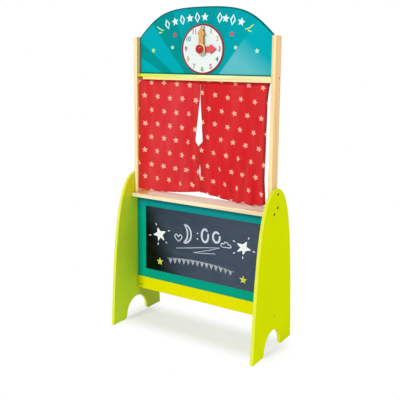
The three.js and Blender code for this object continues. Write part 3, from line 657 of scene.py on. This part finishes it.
# seams are the distances from the foot and the top, away those from the outer and the leading edge
def clothMaterial(name, look, piece, starCover):
    material, tree, shader = newMaterial(name, {
        "Roughness": 0.85, "Sheen Weight": 0.04, "Sheen Roughness": 0.4, "Specular IOR Level": 0.05,
    })
    flat = flatPlace(tree, "clothPrint")
    along, seams, away = (axesOf(vector) for vector in (
        flat, flatPlace(tree, "clothSeams"), flatPlace(tree, "clothEdge")))
    stars = useGroup(tree, printedStars, Print=flat, Across=piece["across"] * mm, Down=look["down"] * mm,
                     Tip=piece["tip"] * mm, Notch=look["notch"] * piece["tip"] * mm)["Mask"]
    weave = useGroup(tree, cottonWeave, Print=flat)
    foot, casing = (useGroup(tree, stitchLine, Across=seams[number], Along=along[0], Line=line * mm)
                    for number, line in enumerate(look["seams"]))
    hung = noiseOf(stretch(flat, (1, 0.22, 1)), 15, 2, 0.4, 0.8)  # painted fold light and shade: broad lighter and darker streaks down the cloth
    # paler red away from both edges, evenly all over, and in the lighter streaks
    paleMiddle = times(ease(away[0], *look["paleFromOuter"]), ease(away[1], *look["paleFromLeading"]), piece["paleMiddle"])
    streaks = times(minus(ease(hung, *look["streaks"]), 0.5), look["foldShadeShare"])
    paler = calc("ADD", plus(paleMiddle, streaks), look["evenPale"], clamp=True)
    dyed = mixInk(paler, piece["red"], piece["paler"])
    threaded = mixInk(times(weave["Tone"], look["threadShare"]), dyed, look["deep"])
    beside = times(ease(away[0], *piece["outerShade"]), piece["shade"])
    within = times(ease(away[1], *look["leadingShade"]), look["leadingShare"])
    below = times(ease(seams[0], *look["footShade"]), look["footShare"])
    edged = mixInk(calc("MAXIMUM", beside, calc("MAXIMUM", within, below)), threaded, piece["edge"])
    starred = mixInk(times(stars, starCover), edged, look["star"])
    thread = times(calc("MAXIMUM", foot["Thread"], casing["Thread"]), look["stitchShare"])
    feed(shader["Base Color"], mixInk(thread, starred, look["deep"]))
    dips = times(plus(foot["Height"], casing["Height"]), look["seamDips"])
    creases = times(noiseOf(stretch(flat, (1, 0.35, 1)), 55, 3), look["creases"])
    bumpInto(shader, plus(weave["Height"], dips, creases), look["relief"])
    return material


print("materials made")


# Curtains: a sheet from the outer edge to the leading edge, with a loop over the rod.
# The folded hem of the leading edge is a piece of its own, because it moves by itself.

curtains = {  # mm
    "rod": (2, 947.9), "loop": 6.3, "thickness": 0.7, "tail": 9, "hemThickness": 1.6, "travel": 180,
    "width": 272, "parting": -9, "shelf": 507.4, "hemLift": 7, "hemRise": 24, "cornerRise": 9,
    "cornerStart": 0.8,
    "rows": 104, "columns": 90, "hemColumns": 12, "loopSteps": 14,
    "sampleAt": (20, 10),  # a row and a column well inside the hanging cloth
    "foldDepth": 2.8, "foldCount": 5, "foldsAtTop": 0.3,  # the share of their depth there
    "swayDown": (0.05, 2.2), "swayAcross": (0.03, 31),  # so that the folds aren't even
    "ripples": (0.28, 2.3),  # how deep and how many, beside the folds
    "creases": 9, "creaseRun": (16, 60), "creaseLean": 0.5,  # how many, how wide and how far aslant
    "creasePush": (0.05 / 30, 0.14 / 30), "creasesAtTop": 0.25,  # depth for each mm of width
    "tuckLean": 0.35,  # a tuck is steeper on one side
    "scallops": ((0.4, 23, 0), (0.1, 9.3, 1)), "ruffle": (0.25, 3.1),  # how far and how long
    "loopRise": (2, 4), "tailSteps": 3, "sewnBehind": 1.3, "edgeLift": 20,
    "swell": (14.5, 24),  # how far the outer edge swings forward, and over what width
    "falls": (942, 512), "calm": (942, 902), "swellFrom": (943, 938),  # heights from none to full
    "calmShare": 0.35,  # the cloth is held nearly flat where it leaves the rod
}
clothPrint = {
    "down": 52.4, "seams": (9, 21),  # mm
    "notch": 0.48, "deep": ink(174, 20, 28), "star": ink(250, 182, 162),
    "paleFromOuter": (0.02, 0.07), "paleFromLeading": (0.02, 0.08),  # metres from the edge, from none to full
    "leadingShade": (0.02, 0.006), "footShade": (0.006, 0.001),
    "leadingShare": 0.3, "footShare": 0.4, "threadShare": 0.25, "stitchShare": 0.8,
    "streaks": (0.36, 0.66), "foldShadeShare": 0.7, "evenPale": 0.3,
    "seamDips": 3.0, "creases": 4.0, "relief": 0.00022,  # dips and creases count in threads of this height
}
leftCurtain = {
    "side": -1, "hemStart": -41.5, "anchorX": -281, "tip": 12.4, "swells": 1.0,
    "outer": ((949, -259), (943.6, -272), (941.6, -280.5), (500, -281)),
    "leading": ((945, -9.4), (925, -9.8), (905, -9.6), (875, -11.6), (845, -15.8), (800, -20.5), (735, -26.6),
                (720, -27.2), (700, -15.6), (680, -11), (640, -8.6), (620, -10.4), (605, -11), (590, -9.6),
                (572, -7), (530, -6)),
    "tucks": (  # a line, its height and width, and where it starts and is full
        (((760, -44), (719, -51), (690, -60), (609, -73), (555, -91), (530, -98)), 7.5, 8, 760, 690),
        (((712, -22), (660, -24), (600, -34), (565, -48), (530, -56)), 5, 7, 712, 660),
        (((900, -160), (700, -168), (530, -172)), 2.2, 22, 900, 700),
    ),
    "across": 57.6, "start": 55.0, "anchor": "outer", "row": 935, "rowAt": -226, "slope": 0.047, "seed": 4,
    "red": ink(218, 42, 46), "paler": ink(225, 66, 70), "paleMiddle": 0.4, "edge": ink(194, 46, 26),
    "outerShade": (0.024, 0.004), "shade": 0.75,
}
rightCurtain = {
    "side": 1, "hemStart": 18.5, "anchorX": 263.2, "tip": 11.4, "swells": 0.0,
    "outer": ((945, 270), (887, 263), (612, 259.5), (526, 266), (505, 267)),
    "leading": ((945, -8.4), (925, -8.2), (905, -8.2), (875, -7.6), (845, -5), (800, -1), (735, 3.8),
                (720, 4.3), (700, -15.2), (680, -10.6), (640, -7.4), (620, -4), (605, -2.8), (590, -4),
                (572, -6.4), (530, -5.4)),
    "tucks": (
        (((790, 20), (751, 31), (700, 59), (639, 84), (583, 110), (530, 128)), 7.5, 9, 790, 690),
        (((720, 150), (678, 156), (618, 172), (574, 162), (520, 156)), 7.5, 8, 720, 660),
        (((880, 205), (740, 214), (520, 206)), 2.5, 20, 880, 720),
    ),
    "across": 53.6, "start": 36.5, "anchor": "leading", "row": 940, "rowAt": 131, "slope": 0.115, "seed": 9,
    "red": ink(219, 38, 42), "paler": ink(224, 58, 62), "paleMiddle": 0.1, "edge": ink(134, 42, 34),
    "outerShade": (0.013, 0.004), "shade": 0.85,
}


def alongLine(points, z):  # x at the height z of a line through (z, x) points, from the top down
    return np.interp(-z, [-point[0] for point in points], [point[1] for point in points])


def grown(z, start, full):  # 0 at the height start and above it, 1 from the height full down
    return np.clip((start - z) / (start - full), 0, 1)


def fromShare(least, value):  # 0 to 1 becomes least to 1
    return least + (1 - least) * value


def clothDepth(x, z, plan, piece):  # how far the cloth stands behind (+) its middle plane, mm
    down = grown(z, *plan["falls"])
    away = (x - plan["parting"]) * piece["side"]
    chance = random.Random(piece["seed"])
    (drift, bends), (shift, over) = plan["swayDown"], plan["swayAcross"]
    sway = drift * np.sin(bends * down + chance.uniform(0, 6))
    sway = sway + shift * np.sin(away / over + chance.uniform(0, 6))
    turns = plan["foldCount"] * (1 - away / plan["width"] + sway)
    depth = plan["foldDepth"] * fromShare(plan["foldsAtTop"], down)
    y = depth * np.sin(math.tau * turns)
    share, count = plan["ripples"]
    y = y + share * depth * np.sin(math.tau * turns * count + chance.uniform(0, 6))
    for crease in range(plan["creases"]):  # each with its own direction
        run = chance.uniform(*plan["creaseRun"])
        lean = chance.uniform(-plan["creaseLean"], plan["creaseLean"])
        push = chance.uniform(*plan["creasePush"]) * run * (plan["creasesAtTop"] + down)
        y = y + push * np.sin(math.tau * (x + lean * z) / run + chance.uniform(0, 6))
    for line, height, wide, start, full in piece["tucks"]:
        t = (x - alongLine(line, z)) / wide
        share = grown(z, start, full)
        y = y - height * share * share * (3 - 2 * share) * np.exp(-t * t) * (1 + plan["tuckLean"] * t)
    forward, reach = plan["swell"]
    beside = np.exp(-((x - alongLine(piece["outer"], z)) / reach) ** 2)
    swell = piece["swells"] * forward * grown(z, *plan["swellFrom"]) * beside
    return y * fromShare(plan["calmShare"], grown(z, *plan["calm"])) - swell


def curtainGrid(plan, piece):  # middle surface of a curtain with its hem, points [row, column], mm
    share = np.concatenate([
        np.linspace(0, 1, plan["columns"] + 1),
        1 + np.arange(1, plan["hemColumns"] + 1) / plan["hemColumns"],
    ])
    rows, (rodY, rodZ) = [], plan["rod"]
    topZ, steps = rodZ - plan["loop"], plan["loopSteps"]

    def edges(z):
        outer, leading = alongLine(piece["outer"], z), alongLine(piece["leading"], z)
        inside = outer + (piece["hemStart"] - outer) * np.clip(share, 0, 1)
        return inside + (leading - piece["hemStart"]) * np.clip(share - 1, 0, 1)

    def hemZ(x):
        aside = np.clip(np.abs(x - plan["parting"]) / plan["width"], 0, 1)
        corner = np.clip((aside - plan["cornerStart"]) / (1 - plan["cornerStart"]), 0, 1)
        scallop = sum(size * np.sin(x / run + start) for size, run, start in plan["scallops"])
        lift = plan["hemLift"] + plan["hemRise"] * (1 - aside) ** 2
        return plan["shelf"] + lift + plan["cornerRise"] * corner ** 2 + scallop

    for row in range(plan["rows"], -1, -1):  # from the foot up
        down = row / plan["rows"]
        x = edges(topZ + (plan["shelf"] + plan["edgeLift"] - topZ) * down)
        z = topZ + (hemZ(x) - topZ) * down
        rows.append(np.stack([x, rodY + clothDepth(x, z, plan, piece), z], 1))
    for step in range(1, steps + 1):  # round the rod, front first, a little narrower
        x = edges(topZ + plan["loopRise"][0] * min(step, plan["loopRise"][1]))
        angle = -math.pi / 2 - math.tau * step / steps
        lift = 1 - abs(1 - 2 * step / steps)
        drift = clothDepth(x, np.full_like(x, topZ), plan, piece) * (1 - lift)
        reach = plan["loop"] - plan["ruffle"][0] * lift * np.sin(x / plan["ruffle"][1])
        rows.append(np.stack([x, rodY + reach * math.cos(angle) + drift, rodZ + reach * math.sin(angle)], 1))
    for step in range(1, plan["tailSteps"] + 1):  # the turned-in end, sewn down behind
        z = np.full_like(x, topZ - plan["tail"] * step / plan["tailSteps"])
        rows.append(np.stack([edges(z[0]), rodY + clothDepth(x, z, plan, piece) + plan["sewnBehind"], z], 1))
    return np.array(rows)


# Flat place of every point on the printed cloth and its distances from the foot, the top, the outer edge
# and the leading edge, all in mm
def curtainPrintMap(grid, plan, piece):
    top = plan["rows"]
    x, z = grid[:, :, 0], grid[:, :, 2]
    along = np.zeros(x.shape)
    along[:, 1:] = np.cumsum(np.linalg.norm(np.diff(grid[:, :, :2], axis=1), axis=2), axis=1)
    if piece["anchor"] == "leading":
        along = along[:, -1:] - along + (x[:, -1:] - plan["parting"])
    rise = np.zeros(x.shape)
    rise[1:] = np.cumsum(np.linalg.norm(np.diff(grid[:, :, 1:], axis=0), axis=2), axis=0)
    printed = piece["row"] - (z + piece["slope"] * (x - piece["rowAt"]))
    printed[top:] = printed[top] - (rise[top:] - rise[top])
    sides = np.abs(x - x[:, :1]), np.abs(x - x[:, -1:])
    return along - piece["start"], printed, rise, rise[top] - rise, *sides


def clothPiece(name, grid, maps, columns, thickness, sampleRow, materials):  # a closed thin sheet
    first, last = columns
    middle = grid[:, first:last + 1] * mm
    down, over = np.gradient(middle, axis=0), np.gradient(middle, axis=1)
    normal = np.cross(over, down)
    normal /= np.linalg.norm(normal, axis=2, keepdims=True)
    if normal[sampleRow, 0, 1] > 0:
        normal = -normal
    front = middle + normal * thickness * mm / 2
    back = middle - normal * thickness * mm / 2
    rows, cols = middle.shape[:2]
    points = np.concatenate([front.reshape(-1, 3), back.reshape(-1, 3)])
    index = np.arange(rows * cols).reshape(rows, cols)
    a, b, c, d = index[:-1, :-1], index[:-1, 1:], index[1:, 1:], index[1:, :-1]
    faces = np.stack([a, b, c, d], 2).reshape(-1, 4).tolist()
    frontCount = len(faces)
    faces += (np.stack([d, c, b, a], 2).reshape(-1, 4) + rows * cols).tolist()
    for line in (index[0, :], index[:, -1], index[-1, ::-1], index[::-1, 0]):
        for one, two in zip(line[:-1], line[1:]):
            faces.append([int(two), int(one), int(one + rows * cols), int(two + rows * cols)])
    mesh = bpy.data.meshes.new(name)
    mesh.from_pydata(points.tolist(), [], faces)
    flat = [values[:, first:last + 1].reshape(-1) * mm for values in maps]
    for label, (u, v) in (("clothPrint", flat[:2]), ("clothSeams", flat[2:4]), ("clothEdge", flat[4:])):
        layer = mesh.uv_layers.new(name=label)
        corner = np.empty(len(mesh.loops), int)
        mesh.loops.foreach_get("vertex_index", corner)
        corner %= rows * cols
        layer.data.foreach_set("uv", np.stack([u[corner], v[corner]], 1).reshape(-1))
    for material in materials:
        mesh.materials.append(material)
    which = np.zeros(len(mesh.polygons), int)
    which[frontCount:2 * frontCount] = 1
    mesh.polygons.foreach_set("material_index", which)
    mesh.polygons.foreach_set("use_smooth", np.ones(len(mesh.polygons), bool))
    mesh.update()
    if meshVolume(mesh) < 0:
        mesh.flip_normals()
    return addObject(name, mesh)


def meshVolume(mesh):
    shape = bmesh.new()
    shape.from_mesh(mesh)
    volume = shape.calc_volume(signed=True)
    shape.free()
    return volume


def addCurtain(word, plan, piece):
    grid = curtainGrid(plan, piece)
    maps = curtainPrintMap(grid, plan, piece)
    split, end = plan["columns"], plan["columns"] + plan["hemColumns"]
    row, column = plan["sampleAt"]
    materials = (clothMaterial(word + "CurtainPrint", clothPrint, piece, 1.0),
                 clothMaterial(word + "CurtainReverse", clothPrint, piece, 0.35))
    cloth = clothPiece(word + "CurtainCloth", grid, maps, (0, split), plan["thickness"], row, materials)
    hem = clothPiece(word + "CurtainHem", grid, maps, (split, end), plan["hemThickness"], row, materials)
    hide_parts("curtain_" + word)
    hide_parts("curtain_hem_" + word)
    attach(cloth, "stand")
    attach(hem, word + "_curtain_edge")
    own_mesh(cloth)


addCurtain("left", curtains, leftCurtain)
addCurtain("right", curtains, rightCurtain)
print("curtains hung")


# Carried-over nodes get their finishes; a star stands for both left and right

finishes = {
    limePaint: "side_panel_*",
    limeRail: "bottom_rail",
    limeCap: "rail_bolt_*",
    tealPaint: "chalkboard_panel",
    headerInk: "header_board",
    slatePaint: "chalk_sheet",
    pineUpright: "post_* hub_disc board_dowel_lower_* board_dowel_upper_*",
    pineRail: "top_rail",
    pineShelf: "stage_shelf",
    pineLath: "curtain_lath",
    pineLevel: "dial_spacer hand_spacer shelf_dowel_*",
    pineRod: "curtain_rod",
    dialPrint: "clock_dial",
    knobPaint: "clock_knob",
    hourPaint: "hour_hand",
    minutePaint: "minute_hand",
    zincSteel: "clock_axle axle_washer axle_nut barrel_nut_*",
    blackSteel: "post_bolt_*_1 post_bolt_*_2 shelf_bolt_* top_rail_screw_*",
}
for finish, names in finishes.items():
    for name in (word.replace("*", side) for word in names.split() for side in ("left", "right")):
        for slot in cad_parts[name].material_slots:
            slot.material = finish
print("finishes assigned")


# Printed and chalked marks: thin closed shapes on the boards

def starOutline(x, z, tip, notch, turn=90.0, points=5):
    outline = []
    for corner in range(2 * points):
        reach = tip if corner % 2 == 0 else notch
        angle = math.radians(turn + 180 * corner / points)
        outline.append((x + reach * math.cos(angle), z + reach * math.sin(angle)))
    return outline


def turnOutline(outline, x, z, degrees):
    c, s = math.cos(math.radians(degrees)), math.sin(math.radians(degrees))
    return [(x + c * (px - x) - s * (pz - z), z + s * (px - x) + c * (pz - z)) for px, pz in outline]


def softLine(points, steps=6):  # a smooth line through the points
    spots, line = np.array(points, float), []
    for before, a, b, after in zip([spots[0], *spots], spots, spots[1:], [*spots[2:], spots[-1]]):
        for t in np.arange(steps) / steps:
            line.append(0.5 * (2 * a + (b - before) * t + (2 * before - 5 * a + 4 * b - after) * t * t
                               + (3 * a - before - 3 * b + after) * t ** 3))
    return line + [spots[-1]]


def addOutline(shape, outline, front, back):
    near, far = ([shape.verts.new((x * mm, y * mm, z * mm)) for x, z in outline] for y in (front, back))
    shape.faces.new(near)
    shape.faces.new(far[::-1])
    for i in range(len(outline)):
        shape.faces.new((near[i - 1], far[i - 1], far[i], near[i]))


def addStroke(shape, points, width, front, back, taper=0.35):  # a drawn line with thinner ends
    line = [Vector(point) for point in points]
    sections = []
    for i, here in enumerate(line):
        ahead = line[min(i + 1, len(line) - 1)] - line[max(i - 1, 0)]
        if ahead.length < 1e-6:
            continue
        beside = Vector((-ahead.y, ahead.x)).normalized()
        share = i / (len(line) - 1)
        half = width / 2 * (1 - taper * abs(2 * share - 1) ** 6)
        sections.append([here + beside * half, here - beside * half])
    rings = [[shape.verts.new((p.x * mm, y * mm, p.y * mm)) for p, y in
              ((left, front), (right, front), (right, back), (left, back))] for left, right in sections]
    for one, two in zip(rings[:-1], rings[1:]):
        for k in range(4):
            m = (k + 1) % 4
            shape.faces.new((one[k], one[m], two[m], two[k]))
    shape.faces.new(rings[0][::-1])
    shape.faces.new(rings[-1])


def addMarks(name, material, board, outlines=(), strokes=()):
    shape = bmesh.new()
    front, back = board["front"] - board["thickness"], board["front"] + board["sunk"]
    for outline in outlines:
        addOutline(shape, outline, front, back)
    for points, width in strokes:
        addStroke(shape, points, width, front, back)
    bmesh.ops.recalc_face_normals(shape, faces=shape.faces)
    mesh = bpy.data.meshes.new(name)
    shape.to_mesh(mesh)
    shape.free()
    mesh.materials.append(material)
    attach(addObject(name, mesh), "stand")


headerMarks = {
    "front": 2.2, "thickness": 0.12, "sunk": 0.05,  # mm
    "lime": (
        [starOutline(-219.4, 1051.8, 10, 4.6, 84)],
        [(softLine([(-202, 1138.6), (-194, 1132.7), (-183.4, 1127.4), (-172, 1124.4)]), 4.2),
         (softLine([(-194, 1116.7), (-186.6, 1116.4), (-178.8, 1118)]), 4.6),
         (softLine([(168.7, 1125.4), (179.5, 1124.8), (190.5, 1130.3), (202.1, 1139)]), 4.2),
         (softLine([(180.4, 1120.5), (188.2, 1116.4), (194.7, 1116)]), 4.2)],
    ),
    "mint": ([starOutline(-132.5, 1062.7, 8.6, 4.1, 96), starOutline(133, 1062, 8.6, 4.1, 84),
              starOutline(216.8, 1050.5, 10, 4.6, 96)], ()),
    "red": ([starOutline(-121.5, 1107.5, 9.5, 6), starOutline(118, 1108, 9.5, 6)], ()),
}
for word in ("lime", "mint", "red"):
    addMarks("header_marks_" + word, inks[word], headerMarks, *headerMarks[word])

# A plain row of lozenges and stars over the clock, on a flat arc
arcRow = {"places": (-155, -121, -89, -56.5, -24.5, 7, 68.5, 92, 121, 154), "middle": 3, "top": 1168.3,
          "sag": 0.00088, "long": 16.5, "wide": 8.6, "line": 5.6, "tip": 15.5, "notch": 7.2}


def addArcRow(settings):
    outlines, strokes = [], []
    wide, long = settings["wide"], settings["long"]
    for number, x in enumerate(settings["places"]):
        aside = x - settings["middle"]
        z = settings["top"] - settings["sag"] * aside ** 2
        turn = -math.degrees(math.atan(2 * settings["sag"] * aside))
        if number % 2 == 0:
            seam = (x + wide / 2, z + long / 2)  # the line is closed in the middle of a side
            lozenge = [seam, (x + wide, z), (x, z - long), (x - wide, z), (x, z + long), seam]
            strokes.append((turnOutline(lozenge, x, z, turn), settings["line"]))
        else:
            outlines.append(starOutline(x, z, settings["tip"], settings["notch"], 90 + turn))
    addMarks("header_marks_white", inks["white"], headerMarks, outlines, strokes)


addArcRow(arcRow)
print("header printed")


# Chalk drawing

chalk = {
    "front": -0.7, "thickness": 0.2, "sunk": 0.05,  # mm
    "heart": ([(-100, 333), (-114, 346), (-116, 356), (-107, 360), (-100, 352), (-93, 360), (-84, 356),
               (-86, 346), (-100, 333)], 4),
    "moon": ([(-74, 404), (-58, 400), (-46, 386), (-42, 368), (-46, 350), (-58, 337), (-74, 333), (-62, 348),
              (-58, 368), (-62, 388), (-74, 404)], 6.5),
    "rings": ((19.8, 374.5, 14.2, 24.5), (69.4, 376, 14.6, 19.3)), "ringWidth": 8.2,
    "cloud": ([(94, 344), (89, 351), (94, 358), (102, 357), (106, 364), (116, 364), (120, 357), (128, 356),
               (130, 347), (94, 344)], 3.6),
    "straight": (  # two dots and the underlines
        ([(-15, 376.5), (-11, 381)], 7.5), ([(-15.5, 359), (-11.5, 354.5)], 7.5),
        ([(-110.8, 305.2), (-60, 314), (10, 327), (85.6, 338.9)], 2.4),
        ([(85.6, 338.9), (40, 322), (-32.6, 301)], 2.2), ([(-32.6, 301), (10, 305), (64.6, 312.3)], 2.4),
        ([(64.6, 312.3), (58, 316), (66, 309)], 2.4),
    ),
    "limeStars": ((-187, 237.3, 16, 7.2, 92), (184.3, 236.1, 16, 7.2, 88)),
    "flags": (-146, 142, 15), "cord": (-152, 148, 13), "cordWidth": 2.4,  # from, to and how many places
    "ends": (258, 12, 150),  # height of the cord's ends, its rise in the middle and its half length
    "flag": ((1.2, -1), (18.6, -1), (9.9, -21)),
    # hand-drawn stars: middle, tips counter-clockwise from the right, and a dash beyond each tip
    "notch": 0.46, "tipWidth": 1.3, "dash": (-4.6, 4.6), "dashWidth": 4.8,
    "rayStars": (
        ((-189, 348.2), ((-161, 362), (-197.7, 372), (-217.6, 341.6), (-194.3, 321), (-166.5, 327)),
         ((-144.6, 367.9), (-205.4, 385), (-234.3, 337.3), (-195.7, 308), (-156.3, 319.5))),
        ((184.6, 355.8), ((212.3, 352.1), (196.2, 380.5), (157.5, 368.5), (158, 338.5), (182.3, 330.5)),
         ((225.2, 348.5), (203.9, 394.1), (143.8, 374.3), (145, 330.5), (181, 318.8))),
    ),
}


def rayStar(settings, middle, tips, dashes):
    centre = Vector(middle)
    outline, strokes = [], []
    for number, tip in enumerate(tips):
        here, after = Vector(tip) - centre, Vector(tips[(number + 1) % len(tips)]) - centre
        between = (here.normalized() + after.normalized()).normalized()
        aside = Vector((-here.y, here.x)).normalized() * settings["tipWidth"]
        inside = between * settings["notch"] * (here.length + after.length) / 2
        outline += [centre + here - aside, centre + here + aside, centre + inside]
    for dash in dashes:
        way = (Vector(dash) - centre).normalized()
        strokes.append(([Vector(dash) + way * reach for reach in settings["dash"]], settings["dashWidth"]))
    return outline, strokes


def chalkRing(x, z, wide, tall):  # its ends overlap a little
    turns = np.linspace(0.4, math.tau + 0.75, 40)
    return [(x + wide * math.cos(turn), z + tall * math.sin(turn)) for turn in turns]


def addChalk(settings):
    outlines, strokes = [], []
    for star in settings["rayStars"]:
        outline, dashes = rayStar(settings, *star)
        outlines.append(outline)
        strokes += dashes
    addMarks("chalk_marks_white", chalkWhite, settings, outlines, strokes)

    soft = {name: (softLine(settings[name][0]), settings[name][1]) for name in ("heart", "moon", "cloud")}
    rings = [(chalkRing(*ring), settings["ringWidth"]) for ring in settings["rings"]]
    addMarks("chalk_marks_pale", chalkPale, settings, (), [
        soft["heart"], soft["moon"], *rings, soft["cloud"], *settings["straight"]])
    addMarks("chalk_marks_lime", chalkLime, settings, [starOutline(*star) for star in settings["limeStars"]])

    height, rise, half = settings["ends"]
    cord, places = ([(x, height + rise * (1 - (x / half) ** 2)) for x in np.linspace(*settings[name])]
                    for name in ("cord", "flags"))
    flags = [[(x + across, z + up) for across, up in settings["flag"]] for x, z in places[:-1]]
    addMarks("chalk_marks_grey", chalkGrey, settings, flags, [(softLine(cord), settings["cordWidth"])])


addChalk(chalk)
print("chalk drawn")


# Numbers on the dial

numerals = {
    "reach": 70.5, "size": 24, "bold": 0.6, "front": -1.16, "thickness": 0.08, "spacing": 0.92,
    "inks": (  # of 12, and of 1 to 11
        (60, 78, 104), (84, 140, 70), (202, 184, 104), (152, 30, 32), (40, 122, 118), (164, 70, 112),
        (62, 138, 106), (118, 136, 112), (196, 162, 92), (124, 20, 50), (20, 136, 162), (176, 74, 122),
    ),
}


def addNumerals(settings, middle):
    upright = Matrix.Rotation(math.pi / 2, 4, "X")
    for place, colour in enumerate(settings["inks"]):
        hour, angle = place or 12, math.radians(90 - 30 * place)
        words = bpy.data.curves.new(f"dial_number_{hour}", "FONT")
        words.body = str(hour)
        words.align_x, words.align_y = "CENTER", "CENTER"
        words.size = settings["size"] * mm
        words.extrude = settings["thickness"] * mm
        words.offset = settings["bold"] * mm
        words.space_character = settings["spacing"]
        words.materials.append(inkMaterial(f"numberInk{hour}", ink(*colour)))
        number = addObject(words.name, words)
        spot = Vector((middle[0] + settings["reach"] * math.cos(angle), settings["front"],
                       middle[1] + settings["reach"] * math.sin(angle)))
        number.matrix_world = Matrix.Translation(spot * mm) @ upright
        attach(number, "stand")


addNumerals(numerals, dial["middle"])
print("dial numbered")


# Studio: pale floor, soft even light

studio = {
    "ambient": 0.42, "white": (1, 1, 1, 1),
    "floorRadius": 9.0, "floorLevel": -0.0002, "floorColour": ink(246, 246, 246), "floorRoughness": 0.9,
    "footprint": (0.27, 0.03), "floorWhite": (0.28, 0.0, 0.11),  # the white share at the stand, then where it starts and ends growing; the lower share near the stand paints the floor darker there, a painted shade
    "lampDistance": 4,
    "lamps": (  # direction, strength and angle
        ("keyLamp", (-0.13, -0.88, 0.46), 1.95, 16),
        ("fillLamp", (0.99, -0.06, 0.08), 1.06, 26),
        ("backLamp", (0.1, 0.97, 0.2), 0.8, 50),
    ),
}


def makeWorld(settings):  # white to the camera and in reflections, dimmer as light
    world = bpy.data.worlds.new("studioWorld")
    bpy.context.scene.world = world
    world.use_nodes = True
    tree = world.node_tree
    rays = addNode(tree, "LightPath").outputs
    mirrored = calc("MAXIMUM", rays["Is Glossy Ray"], rays["Is Transmission Ray"])
    seen = calc("MAXIMUM", rays["Is Camera Ray"], mirrored)
    level = addNode(tree, "Mix", {0: seen, 2: settings["ambient"], 3: 1.0}, data_type="FLOAT").outputs[0]
    feedAll(tree.nodes["Background"].inputs, {"Color": settings["white"], "Strength": level})


def makeFloor(settings):  # to the camera the floor glows white farther out; near the stand it shows its own lighting with the stand's real shadow, and it is painted darker in a band there, a painted shade
    material, tree = newMaterial("studioFloor", {
        "Base Color": settings["floorColour"], "Roughness": settings["floorRoughness"],
    })[:2]
    place = placeAxes(tree)
    beyond = [calc("MAXIMUM", minus(calc("ABSOLUTE", place[axis]), settings["footprint"][axis]), 0.0)
              for axis in (0, 1)]
    level, near, far = settings["floorWhite"]
    rays = addNode(tree, "LightPath").outputs
    seen = calc("MAXIMUM", rays["Is Camera Ray"], rays["Is Glossy Ray"])
    glow = addNode(tree, "Emission", {"Color": settings["white"]})
    blend = addNode(tree, "MixShader", {
        0: times(seen, ease(lengthOf(*beyond), near, far, level)),
        1: tree.nodes["Principled BSDF"].outputs[0], 2: glow.outputs[0],
    })
    feed(tree.nodes["Material Output"].inputs["Surface"], blend.outputs[0])

    shape = bmesh.new()
    bmesh.ops.create_circle(shape, cap_ends=True, segments=96, radius=settings["floorRadius"])
    mesh = bpy.data.meshes.new("studioFloor")
    shape.to_mesh(mesh)
    shape.free()
    mesh.materials.append(material)
    floor = addObject("studioFloor", mesh)
    floor.location.z = settings["floorLevel"]


def addLamps(settings):
    for name, direction, strength, angle in settings["lamps"]:
        light = bpy.data.lights.new(name, "SUN")
        light.energy = strength
        light.angle = math.radians(angle)
        lamp = addObject(name, light)
        lamp.rotation_euler = Vector(direction).to_track_quat("Z", "Y").to_euler()
        lamp.location = Vector(direction) * settings["lampDistance"]


makeWorld(studio)
makeFloor(studio)
addLamps(studio)
bpy.context.scene.view_settings.view_transform = "Standard"
print("studio built")
